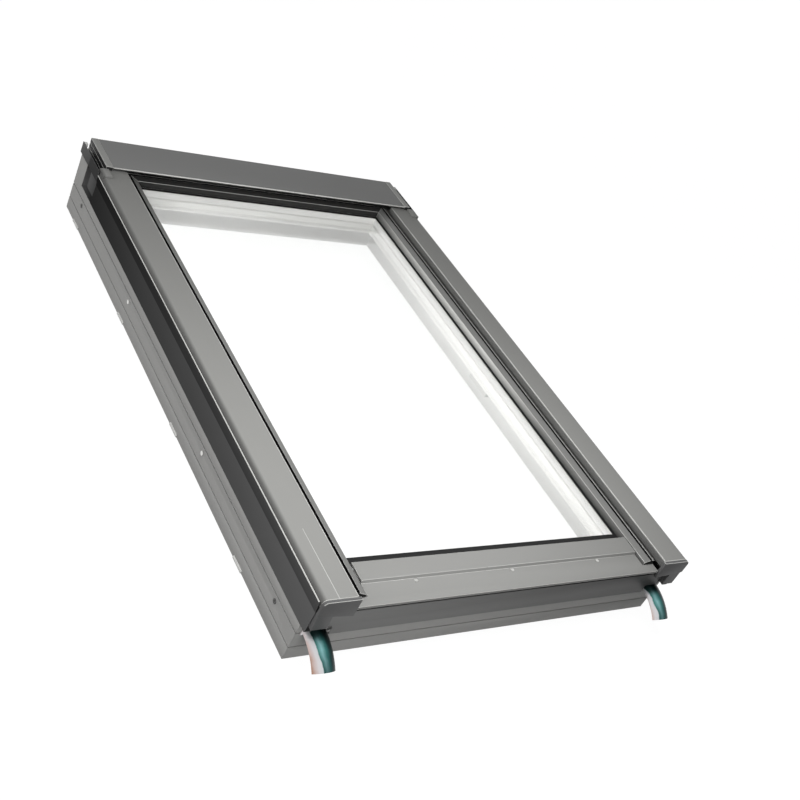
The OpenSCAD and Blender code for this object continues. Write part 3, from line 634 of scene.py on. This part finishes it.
# Finishes: a colour's name or its value, the roughness, and what differs from the usual coat
FINISHES = {
    "cladding coat": ("cladding", 0.55,
                      dict(drift=0.05, grain=1200, lines=0.5, bump=0.02, shine=0.05)),
    "cladding inner wall": ("inner_wall", 0.55, dict(grain=1200, bump=0.02, shine=0.05)),
    "cover coat": ("cover", 0.48, dict(drift=0.05, grain=1200, bump=0.02)),
    "hood coat": ("hood", 0.52, dict(drift=0.04, grain=1200, bump=0.02)),
    "hood end plastic": ("cladding", 0.48, dict(drift=0.05, grain=700, bump=0.05)),
    "front cover coat": ("front", 0.45, dict(drift=0.05, grain=1200, bump=0.02)),
    "gutter coat": ("dark", 0.6, dict(drift=0.12, grain=1000, shine=0.0)),
    "hood fin coat": ("dark", 0.55, dict(drift=0.1, grain=1000, shine=0.05)),
    "end cap plastic": ("cap", 0.5, dict(grain=500, bump=0.08, shine=0.12)),
    "glazing strip metal": ("strip", 0.38, dict(metallic=0.2, drift=0.05, grain=1100, lines=0.6)),
    "bare strip facet": ("facet", 0.36, dict(metallic=0.2, grain=1000, lines=0.6)),
    "bare crease": ("facet", 0.36, dict(metallic=0.2, grain=1000, lines=0.6)),
    "dark strip metal": ("dark_strip", 0.42, dict(metallic=0.2, drift=0.08, grain=1100, lines=0.6)),
    "room plastic": ("room_white", 0.34, dict(drift=0.02, grain=500)),
    "lever plastic": ("room_white", 0.24, dict(drift=0.02, grain=420, bump=0.02, shine=0.5)),
    "seal rubber": ("rubber", 0.6, dict(drift=0.3, grain=650, lines=0.8, bump=0.12, shine=0.15)),
    # Painted highlight for edges, hems and raised lines
    "bright edge": ("bright", 0.28, dict(metallic=0.5, drift=0.1, lines=0.6)),
    "zinc plated steel": ((0.66, 0.66, 0.64), 0.3,
                          dict(metallic=1.0, drift=0.12, grain=300, lines=0.4)),
    "passivated sheet steel": ((0.6, 0.5, 0.45), 0.34,
                               dict(metallic=0.6, drift=0.2, grain=400, bump=0.05)),
    "pale pad plastic": ((0.72, 0.72, 0.7), 0.5, dict(drift=0.05, grain=500, bump=0.05)),
    "spacer metal": ((0.85, 0.85, 0.835), 0.45, dict(drift=0.03, grain=700, bump=0.04, shine=0.2)),
    "pale gasket rubber": ((0.8, 0.8, 0.785), 0.55,
                           dict(drift=0.05, grain=650, lines=0.6, bump=0.08)),
}
CHANGING = {
    "cladding coat": cladding_colour_with_edge_shade,
    "hood end plastic": hood_end_painted_light,
    "front cover coat": front_colour_with_painted_shade,
    "gutter coat": gutter_colour_with_painted_light,
    "hood fin coat": fin_colour_with_painted_shade,
    "bare strip facet": facet_painted_light,
    "passivated sheet steel": film_colour_and_painted_light,
}


def finish(name):
    """The named finish, made when it is first asked for."""
    found = bpy.data.materials.get(name)
    if found:
        return found
    colour, roughness, rest = FINISHES[name]
    if isinstance(colour, str):
        colour = getattr(colours(), colour)
    material, tree, skin = coat(name, colour, roughness, **rest)
    if name in CHANGING:
        feed(tree, skin.inputs["Colour"], CHANGING[name](tree, colour))
    return material


def two_tone_rail():
    """Frame plastic: grey foil on the outer faces and shoulders, white towards the room."""
    name = "two tone frame plastic"
    found = bpy.data.materials.get(name)
    if found:
        return found
    foil_depth, shoulder_z = 0.003, 0.0765
    material, tree, grey = coat(name, colours().frame_grey, 0.5, drift=0.05, grain=700, bump=0.04,
                                shine=0.05)
    white = skin_node(tree, colours().room_white, 0.35, 0.02, 500, 0)
    place = add(tree, "TexCoord").outputs["Object"]
    centred = add(tree, "Mapping", {"Vector": place, "Location": (0, -mid_y, 0)}).outputs["Vector"]
    x, y, z = add(tree, "SeparateXYZ", {"Vector": centred}).outputs
    mask = maths(tree, "GREATER_THAN", z, shoulder_z)
    for part, half in ((x, half_w), (y, half_l)):
        outer = maths(tree, "GREATER_THAN", maths(tree, "ABSOLUTE", part), half - foil_depth)
        mask = maths(tree, "MAXIMUM", mask, outer)
    tone = blended(tree, mask, white.outputs["Colour"], grey.outputs["Colour"])
    feed(tree, tree.nodes["Principled BSDF"].inputs["Base Color"], tone)
    return material


def clear_glass():
    """Float glass with a faint tint and a trace of haze, which lets the lamps shine through."""
    name = "clear float glass"
    found = bpy.data.materials.get(name)
    if found:
        return found
    haze_scale, most_haze = 2.2, 0.012
    material = bpy.data.materials.new(name)
    material.use_nodes = True
    tree = material.node_tree
    shader = tree.nodes["Principled BSDF"]
    haze = noise(tree, add(tree, "TexCoord").outputs["Object"], haze_scale, 3)
    tint = ramp(tree, haze, ((0, (0.984, 0.988, 0.984)), (1, (0.994, 0.998, 0.994))))
    rough = add(tree, "MapRange", {"Value": haze, "To Min": 0.0, "To Max": most_haze})
    feed(tree, shader.inputs["Base Color"], tint)
    feed(tree, shader.inputs["Roughness"], rough.outputs["Result"])
    feed(tree, shader.inputs["Transmission Weight"], 1)
    feed(tree, shader.inputs["IOR"], 1.45)
    clear = add(tree, "BsdfTransparent", {"Color": (0.968, 0.965, 0.96, 1)})
    shadow = add(tree, "MixShader", {0: add(tree, "LightPath").outputs["Is Shadow Ray"],
                                     1: shader.outputs["BSDF"], 2: clear.outputs["BSDF"]})
    feed(tree, tree.nodes["Material Output"].inputs["Surface"], shadow.outputs["Shader"])
    return material


# Operators, one for each piece or group of like pieces

class SKYLIGHT_OT_frame_rails(bpy.types.Operator):
    """Four welded plastic rails with rounded edges and open mitre lines"""
    bl_idname = "skylight.frame_rails"
    bl_label = "Frame rails"

    def execute(self, context):
        for side in AROUND:
            dressed(f"frame_rail_{side}", f"frame_{side}", sizes().rail_edge, 2, two_tone_rail(),
                    "frame")
        return {"FINISHED"}


class SKYLIGHT_OT_gutters(bpy.types.Operator):
    """Dark side gutters with a rolled hem on their top edge, coloured with a painted highlight"""
    bl_idname = "skylight.gutters"
    bl_label = "Side gutters"

    def execute(self, context):
        hem_start, fin_gap = 0.0015, 0.0006
        for side, sign in SIDES:
            node = f"side_gutter_{side}"
            dressed(node, f"gutter_{side}", sizes().sheet_edge, 1, finish("gutter coat"),
                    "frame")
            low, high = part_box(node)
            edge_x = sign * (near_and_far(low, high)[1] - sizes().hem_r)
            end_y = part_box(f"hood_wing_{side}")[0].y - fin_gap
            hem = bead(f"gutter_hem_{side}", sizes().hem_r, (edge_x, low.y + hem_start, high.z),
                       (edge_x, end_y, high.z))
            # The hem carries a painted highlight
            finished(hem, finish("bright edge"), "frame")
        return {"FINISHED"}


class SKYLIGHT_OT_claddings(bpy.types.Operator):
    """Side claddings with their raised lines in a painted highlight, end caps and corner tabs, and the
    left one's crease
    """
    bl_idname = "skylight.claddings"
    bl_label = "Claddings"

    def execute(self, context):
        wall_t, fold_h = 0.0008, 0.0025
        line_in, end_in, cap_top = 0.0011, 0.001, 0.0045
        bright = finish("bright edge")
        for side, sign in SIDES:
            node = f"side_cladding_{side}"
            piece = dressed(node, f"cladding_{side}", sizes().fold_edge, 2, finish("cladding coat"),
                            "frame", bright)
            low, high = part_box(node)
            inner = near_and_far(low, high)[0]
            # Painted shade on the inner wall below the top fold
            recoated(piece, finish("cladding inner wall"),
                     lambda f: abs(f.center.x) < inner + wall_t and f.center.z < high.z - fold_h)
            line_x = sign * (inner + line_in)
            line_z = high.z - line_in
            # Raised line along the inner edge, coloured as a painted highlight
            line = bead(f"cladding_bright_line_{side}", sizes().line_r,
                        (line_x, low.y + end_in, line_z), (line_x, high.y - end_in, line_z))
            finished(line, bright, "frame")
            cap = finish("end cap plastic")
            piece = dressed(f"cladding_cap_{side}", f"cap_{side}", sizes().cap_edge, 2, cap,
                            "frame", bright)
            # Only the top edges keep the painted highlight; the other bevels go back to the cap plastic
            recoated(piece, cap, lambda f: f.center.z < high.z - cap_top)
            dressed(f"cladding_tab_{side}", f"tab_{side}", sizes().edge, 2, finish("cladding coat"),
                    "frame")
        self.crease(end_in)
        return {"FINISHED"}

    def crease(self, end_in):
        """A short raised line at the lower end of the left cladding, coloured as a painted highlight.
        """
        side_in, length, start_drop, end_drop = 0.027, 0.135, 0.0004, 0.0006
        low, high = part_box("side_cladding_left")
        x = low.x + side_in
        crease = bead("cladding_crease", sizes().line_r, (x, low.y + end_in, high.z - start_drop),
                      (x, low.y + length, high.z - end_drop))
        # The crease carries a painted highlight
        finished(crease, finish("bare crease"), "frame")


class SKYLIGHT_OT_hood(bpy.types.Operator):
    """Top hood with its front bend coloured with a painted highlight, end pieces and wings"""
    bl_idname = "skylight.hood"
    bl_label = "Top hood"

    def execute(self, context):
        bend_r, bend_in, bend_back, bend_drop = 0.0014, 0.002, 0.0009, 0.0016
        bright = finish("bright edge")
        dressed("top_hood", "hood", sizes().sheet_edge, 2, finish("hood coat"),
                "frame", bright)
        low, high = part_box("top_hood")
        bend_y = low.y + bend_back
        bend_z = high.z - bend_drop
        bend = bead("hood_front_bend", bend_r, (low.x + bend_in, bend_y, bend_z),
                    (high.x - bend_in, bend_y, bend_z))
        # The front bend carries a painted highlight
        finished(bend, bright, "frame")
        for side in ("left", "right"):
            dressed(f"hood_end_{side}", f"hood_end_piece_{side}", sizes().sheet_edge, 2,
                    finish("hood end plastic"), "frame", bright)
            dressed(f"hood_wing_{side}", f"hood_fin_{side}", sizes().sheet_edge, 1,
                    finish("hood fin coat"), "frame", finish("end cap plastic"))
        return {"FINISHED"}


class SKYLIGHT_OT_fin_clips(bpy.types.Operator):
    """Pale clips that hold the fins at their upper ends"""
    bl_idname = "skylight.fin_clips"
    bl_label = "Fin clips"

    def execute(self, context):
        fin_t, start, end, depth, drop = 0.0012, 0.009, 0.001, 0.008, 0.0006
        clips = []
        for side, sign in SIDES:
            low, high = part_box(f"hood_wing_{side}")
            wall = sign * (near_and_far(low, high)[1] - fin_t)
            x0, x1 = sorted((wall, wall - sign * sizes().clip_w))
            clips.append(clip("fin_clip", (x0, high.y - start, high.z - depth),
                              (x1, high.y - end, high.z - drop), rim=0.0012, rise=0.0012, edge=0.0006))
        finished(joined(clips, "fin_clips"), finish("pale pad plastic"), "frame")
        return {"FINISHED"}


class SKYLIGHT_OT_strip_clips(bpy.types.Operator):
    """Dark clips in the groove of the side strips"""
    bl_idname = "skylight.strip_clips"
    bl_label = "Strip clips"

    def execute(self, context):
        groove_start, groove_end, depth, drop = 0.0036, 0.0091, 0.0095, 0.0045
        parts_of_length = (0.2, 0.5, 0.8)
        clips = []
        for side, sign in SIDES:
            low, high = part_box(f"glazing_strip_{side}")
            outer = near_and_far(low, high)[1]
            x0, x1 = sorted((sign * (outer - groove_start), sign * (outer - groove_end)))
            for part in parts_of_length:
                y = low.y + (high.y - low.y) * part
                half = sizes().clip_l / 2
                clips.append(clip("strip_clip", (x0, y - half, high.z - depth),
                                  (x1, y + half, high.z - drop), rim=0.0014, rise=0.0028, edge=0.0004))
        finished(joined(clips, "strip_clips"), finish("seal rubber"), "sash")
        return {"FINISHED"}


class SKYLIGHT_OT_front_cover(bpy.types.Operator):
    """Folded cover at the frame's lower edge"""
    bl_idname = "skylight.front_cover"
    bl_label = "Front cover"

    def execute(self, context):
        dressed("front_cover", "front_fold", sizes().sheet_edge, 1, finish("front cover coat"),
                "frame")
        return {"FINISHED"}


class SKYLIGHT_OT_bottom_tongues(bpy.types.Operator):
    """Formed tongues at the lower corners, with a map across and along each for its film and its
    painted light
    """
    bl_idname = "skylight.bottom_tongues"
    bl_label = "Bottom tongues"

    def execute(self, context):
        tongue_edge = 0.0004
        for side, film_shift in (("left", 0.12), ("right", 0.22)):
            node = f"apron_tongue_{side}"
            piece = dressed(node, f"tongue_{side}", tongue_edge, 2, finish("passivated sheet steel"),
                            "frame")
            low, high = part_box(node)
            mesh = piece.data
            flank = mesh.uv_layers.active or mesh.uv_layers.new(name="flank")
            for loop in mesh.loops:
                point = mesh.vertices[loop.vertex_index].co
                across = film_shift + (point.x - low.x) / (high.x - low.x)
                flank.data[loop.index].uv = (across, (point.y - low.y) / (high.y - low.y))
        return {"FINISHED"}


class SKYLIGHT_OT_fixings(bpy.types.Operator):
    """Screws in the frame's sides and the bottom cover, and the pads along the lower edge"""
    bl_idname = "skylight.fixings"
    bl_label = "Fixings"

    def execute(self, context):
        side_head_r, cover_head_r, cover_turn, pad_edge = 0.0042, 0.0034, 0.4, 0.0004
        low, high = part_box("frame_screws")
        z = (low.z + high.z) / 2
        heads = []
        for sign in (-1, 1):
            for y in (low.y + side_head_r, high.y - side_head_r):
                heads.append(screw("side_screw", sizes().screw_r, sizes().screw_h,
                                   (sign * half_w, y, z), (0, sign * radians(90), 0)))
        piece = joined(heads, "side_screws")
        finished(piece, finish("zinc plated steel"), "frame")
        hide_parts("frame_screws")
        low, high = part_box("cover_screws")
        y = (low.y + high.y) / 2
        heads = []
        for x in (low.x + cover_head_r, 0, high.x - cover_head_r):
            heads.append(screw("cover_screw", cover_head_r, high.z - low.z, (x, y, low.z),
                               (0, 0, cover_turn)))
        piece = joined(heads, "bottom_cover_screws")
        finished(piece, finish("zinc plated steel"), "sash")
        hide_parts("cover_screws")
        dressed("edge_pads", "lower_edge_pads", pad_edge, 2, finish("pale pad plastic"),
                "frame")
        return {"FINISHED"}


class SKYLIGHT_OT_eyelets(bpy.types.Operator):
    """Rims round the bracket holes in the frame's sides"""
    bl_idname = "skylight.eyelets"
    bl_label = "Bracket hole rims"

    def execute(self, context):
        rim_h, rim_edge = 0.0006, 0.0002
        rims = []
        for mount in frame["record"]["mounts"]:
            if mount["kind"] != "bolt_pattern":
                continue
            place = Vector(mount["pos_m"])
            sign = 1 if place.x > 0 else -1
            hole = mount["dims"]["hole_r_mm"] / 1000
            reach = mount["dims"]["spacing_x_mm"] / 2000
            for end in (-1, 1):
                centre = place + Vector((0, end * reach, 0))
                rim = start_disc("eyelet", sizes().eyelet_r, 32, centre, (0, radians(90), 0))
                pick_all(rim)
                bpy.ops.mesh.inset(thickness=sizes().eyelet_r - hole, depth=0)
                bpy.ops.mesh.delete(type="FACE")
                bpy.ops.mesh.select_all(action="SELECT")
                pull((sign * rim_h, 0, 0))
                mode("OBJECT")
                closed(rim)
                rounded(rim, rim_edge)
                rims.append(rim)
        finished(joined(rims, "bracket_hole_rims"), finish("end cap plastic"), "frame")
        return {"FINISHED"}


class SKYLIGHT_OT_fitting_screws(bpy.types.Operator):
    """Screws that hold the hinges, the lock plate and the striker"""
    bl_idname = "skylight.fitting_screws"
    bl_label = "Fitting screws"

    def execute(self, context):
        hinge_reach, hinge_up = 0.026, 0.01
        small_r, small_h, end_in = 0.003, 0.001, 0.006
        heads = []
        for side, sign in SIDES:
            low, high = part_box(f"hinge_plate_{side}")
            face = sign * (near_and_far(low, high)[1] - sizes().hinge_plate)
            for end in (-1, 1):
                place = (face, mid_y + end * hinge_reach, low.z + hinge_up)
                heads.append(screw("hinge_screw", sizes().screw_r, sizes().screw_h, place,
                                   (0, -sign * radians(90), 0)))
        low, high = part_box("striker_plate")
        for end in (-1, 1):
            place = (end * (high.x - end_in), high.y, (low.z + high.z) / 2)
            heads.append(screw("striker_screw", small_r, small_h, place, (-radians(90), 0, 0)))
        finished(joined(heads, "frame_fitting_screws"), finish("zinc plated steel"), "frame")
        low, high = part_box("lock_plate")
        heads = []
        for end in (-1, 1):
            place = (end * (high.x - end_in), (low.y + high.y) / 2, low.z)
            heads.append(screw("lock_screw", small_r, small_h, place, (radians(180), 0, 0)))
        finished(joined(heads, "lock_plate_screws"), finish("zinc plated steel"), "sash")
        return {"FINISHED"}


class SKYLIGHT_OT_seals(bpy.types.Operator):
    """Weather seal, glazing gaskets and the spacer between the panes"""
    bl_idname = "skylight.seals"
    bl_label = "Seals"

    def execute(self, context):
        gasket_edge = 0.0005
        dressed("outer_gasket", "glazing_gasket", gasket_edge, 2, finish("seal rubber"),
                "sash")
        for node, name in (("weather_seal", "seal rubber"), ("inner_gasket", "pale gasket rubber"),
                           ("pane_spacer", "spacer metal")):
            only_finish(frame["nodes"][node], finish(name))
        return {"FINISHED"}


class SKYLIGHT_OT_sash(bpy.types.Operator):
    """Sash rails, glazing strips, bottom cover with a black bead under its lip as painted shadow, and
    panes
    """
    bl_idname = "skylight.sash"
    bl_label = "Sash"

    def execute(self, context):
        lip_back, lip_drop, lip_in = 0.0026, 0.0102, 0.003
        bright = finish("bright edge")
        for side in AROUND:
            dressed(f"sash_rail_{side}", f"sash_{side}", sizes().rail_edge, 2, finish("room plastic"),
                    "sash")
        for side, sign in SIDES:
            node = f"glazing_strip_{side}"
            piece = dressed(node, f"strip_{side}", sizes().sheet_edge, 2, finish("glazing strip metal"),
                            "sash", bright)
            self.strip_faces(piece, sign, *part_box(node))
        # The top strip is coloured with the hood's painted shadow
        dressed("glazing_strip_top", "strip_top", sizes().sheet_edge, 2, finish("dark strip metal"),
                "sash", bright)
        dressed("sash_bottom_cover", "bottom_cover", sizes().sheet_edge, 2, finish("cover coat"),
                "sash", bright)
        low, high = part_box("sash_bottom_cover")
        lip_y = low.y + lip_back
        lip_z = high.z - lip_drop
        # Black bead as painted shadow under the lip
        seal = bead("drip_seal", sizes().lip_shadow_r, (low.x + lip_in, lip_y, lip_z),
                    (high.x - lip_in, lip_y, lip_z))
        finished(seal, finish("seal rubber"), "sash")
        for node in ("outer_pane", "inner_pane"):
            only_finish(frame["nodes"][node], clear_glass())
        return {"FINISHED"}

    def strip_faces(self, piece, sign, low, high):
        """A painted highlight on a side strip's inner facet, and painted shade in its drain groove,
        coloured black.
        """
        facet_w, least_area = 0.004, 1e-4
        groove_in, groove_out, groove_top, groove_low = 0.0102, 0.0028, 0.001, 0.0105
        inner, outer = near_and_far(low, high)
        # Painted highlight on the inner facet
        recoated(piece, finish("bare strip facet"),
                 lambda f: sign * f.normal.x < -FACING and abs(f.center.x) < inner + facet_w
                 and f.area > least_area)
        # Painted shade: the groove's floor and walls get the black rubber finish for the shade inside
        # it
        recoated(piece, finish("seal rubber"),
                 lambda f: outer - groove_in < abs(f.center.x) < outer - groove_out
                 and high.z - groove_low < f.center.z < high.z - groove_top)


class SKYLIGHT_OT_hinges(bpy.types.Operator):
    """Pivot plates on the frame and pivot arms on the sash"""
    bl_idname = "skylight.hinges"
    bl_label = "Pivot hinges"

    def execute(self, context):
        steel = finish("zinc plated steel")
        for side in ("left", "right"):
            dressed(f"hinge_plate_{side}", f"pivot_block_{side}", sizes().edge, 2, steel,
                    "frame")
            dressed(f"hinge_arm_{side}", f"pivot_arm_{side}", sizes().edge, 2, steel,
                    "sash")
        return {"FINISHED"}


class SKYLIGHT_OT_handle(bpy.types.Operator):
    """Handle lever, rose, spindle and lock parts"""
    bl_idname = "skylight.handle"
    bl_label = "Handle and lock"

    def execute(self, context):
        rose_edge, spindle_edge, lock_edge, striker_edge = 0.0012, 0.0003, 0.0005, 0.0004
        white = finish("lever plastic")
        steel = finish("zinc plated steel")
        dressed("handle_lever", "lever", sizes().lever_edge, 4, white, "handle")
        dressed("handle_rose", "rose", rose_edge, 3, white, "sash")
        dressed("handle_spindle", "spindle", spindle_edge, 2, steel, "handle")
        dressed("lock_bolt", "bolt", lock_edge, 2, steel, "bolt")
        dressed("lock_plate", "lock_face", lock_edge, 2, steel, "sash")
        dressed("striker_plate", "striker", striker_edge, 2, steel, "frame")
        return {"FINISHED"}


# Lamps: name, place, aim, width, length, watts and spread in degrees
LAMPS = (
    ("side", (-2.8, 0.35, 0.9), (1, 0, -0.25), 2.0, 2.4, 31, 180),
    ("low_end", (-0.25, -0.44, 1.15), (0, 0, -1), 0.9, 0.5, 13, 180),
    ("below", (0, mid_y - 0.1, 0.004), (0, 0, 1), 0.62, 0.8, 0.8, 180),
    ("reveal", (-0.27, mid_y - 0.03, 0.03), (1, 0, 0), 0.8, 0.04, 1.5, 180),
    ("front", (-0.55, mid_y - 1.5, 0.25), (0.33, 0.9, -0.18), 0.4, 0.25, 0.55, 80),
)


class SKYLIGHT_OT_stage(bpy.types.Operator):
    """Pale floor, soft light and the camera"""
    bl_idname = "skylight.stage"
    bl_label = "Stage"

    def execute(self, context):
        scene = context.scene
        scene.view_settings.view_transform = "Standard"
        self.floor()
        scene.world = self.world()
        for lamp in LAMPS:
            self.lamp(*lamp)
        camera = self.camera()
        scene.collection.objects.link(camera)
        scene.camera = camera
        return {"FINISHED"}

    def floor(self):
        """A wide plane just under the window, white to the camera and see-through from below."""
        size, drop = 30, 0.0003
        seen_light, own_light = 0.96, 0.14
        nothing_selected()
        bpy.ops.mesh.primitive_plane_add(size=size, location=(0, 0, -drop))
        floor = started("floor")
        ground = bpy.data.materials.new("pale floor")
        ground.use_nodes = True
        tree = ground.node_tree
        back = add(tree, "NewGeometry").outputs["Backfacing"]
        shader = tree.nodes["Principled BSDF"].inputs
        for name, value in (("Base Color", rgba(0.12)), ("Roughness", 0.9), ("Specular IOR Level", 0.1),
                            ("Emission Color", rgba(1)),
                            ("Emission Strength", seen(tree, seen_light, own_light)),
                            ("Alpha", maths(tree, "SUBTRACT", 1, back))):
            feed(tree, shader[name], value)
        floor.data.materials.append(ground)
        return floor

    def world(self):
        """White to the camera and in glass and metal, and a weak soft light on the window."""
        seen_light, own_light = 1.0, 0.2
        world = bpy.data.worlds.new("studio")
        world.use_nodes = True
        tree = world.node_tree
        sky = tree.nodes["Background"].inputs
        feed(tree, sky["Color"], rgba(1))
        feed(tree, sky["Strength"], seen(tree, seen_light, own_light))
        return world

    def lamp(self, name, place, aim, width, length, watts, spread):
        """A rectangular lamp that lights the window and isn't seen itself."""
        nothing_selected()
        bpy.ops.object.light_add(type="AREA", location=place)
        lamp = bpy.context.object
        lamp.name = f"{name}_light"
        lamp.data.shape = "RECTANGLE"
        lamp.data.size = width
        lamp.data.size_y = length
        lamp.data.spread = radians(spread)
        lamp.data.energy = watts
        lamp.visible_camera = False
        lamp.visible_glossy = False
        lamp.visible_transmission = False
        lamp.rotation_euler = Vector(aim).to_track_quat("-Z", "Y").to_euler()

    def camera(self):
        """The photograph's viewing angle, from its place and its right and up directions."""
        place = (-1.2656, mid_y - 1.4316, 1.2527)
        right = Vector((0.80158, -0.44202, 0.40259))
        up = Vector((-0.00767, 0.66570, 0.74618))
        camera = bpy.data.objects.new("camera", bpy.data.cameras.new("camera"))
        camera.data.sensor_fit = "HORIZONTAL"
        camera.data.sensor_width = 36
        camera.data.lens = 51.83
        camera.data.clip_end = 60
        turn = Matrix((right, up, right.cross(up))).transposed().to_4x4()
        camera.matrix_world = Matrix.Translation(place) @ turn
        return camera


class SKYLIGHT_PT_panel(bpy.types.Panel):
    """Sidebar panel with the window's sizes, colours and pieces"""
    bl_label = "Roof window"
    bl_idname = "SKYLIGHT_PT_panel"
    bl_space_type = "VIEW_3D"
    bl_region_type = "UI"
    bl_category = "Roof window"

    def draw(self, context):
        for group in (context.scene.skylight_sizes, context.scene.skylight_colours):
            column = self.layout.column(align=True)
            for name in group.__annotations__:
                column.prop(group, name)
        for operator in OPERATORS:
            self.layout.operator(operator.bl_idname)


OPERATORS = (
    SKYLIGHT_OT_frame_rails, SKYLIGHT_OT_gutters, SKYLIGHT_OT_claddings, SKYLIGHT_OT_hood,
    SKYLIGHT_OT_fin_clips, SKYLIGHT_OT_front_cover, SKYLIGHT_OT_bottom_tongues, SKYLIGHT_OT_fixings,
    SKYLIGHT_OT_eyelets, SKYLIGHT_OT_seals, SKYLIGHT_OT_sash, SKYLIGHT_OT_strip_clips,
    SKYLIGHT_OT_hinges, SKYLIGHT_OT_fitting_screws, SKYLIGHT_OT_handle, SKYLIGHT_OT_stage,
)
CLASSES = (SkylightSizes, SkylightColours, *OPERATORS, SKYLIGHT_PT_panel)


def register():
    for cls in CLASSES:
        bpy.utils.register_class(cls)
    bpy.types.Scene.skylight_sizes = bpy.props.PointerProperty(type=SkylightSizes)
    bpy.types.Scene.skylight_colours = bpy.props.PointerProperty(type=SkylightColours)


def unregister():
    del bpy.types.Scene.skylight_colours
    del bpy.types.Scene.skylight_sizes
    for cls in reversed(CLASSES):
        bpy.utils.unregister_class(cls)


def main():
    register()
    bpy.ops.skylight.frame_rails()
    bpy.ops.skylight.gutters()
    bpy.ops.skylight.claddings()
    bpy.ops.skylight.hood()
    bpy.ops.skylight.fin_clips()
    bpy.ops.skylight.front_cover()
    bpy.ops.skylight.bottom_tongues()
    bpy.ops.skylight.fixings()
    bpy.ops.skylight.eyelets()
    bpy.ops.skylight.seals()
    bpy.ops.skylight.sash()
    bpy.ops.skylight.strip_clips()
    bpy.ops.skylight.hinges()
    bpy.ops.skylight.fitting_screws()
    bpy.ops.skylight.handle()
    bpy.ops.skylight.stage()


if __name__ == "__main__":
    main()
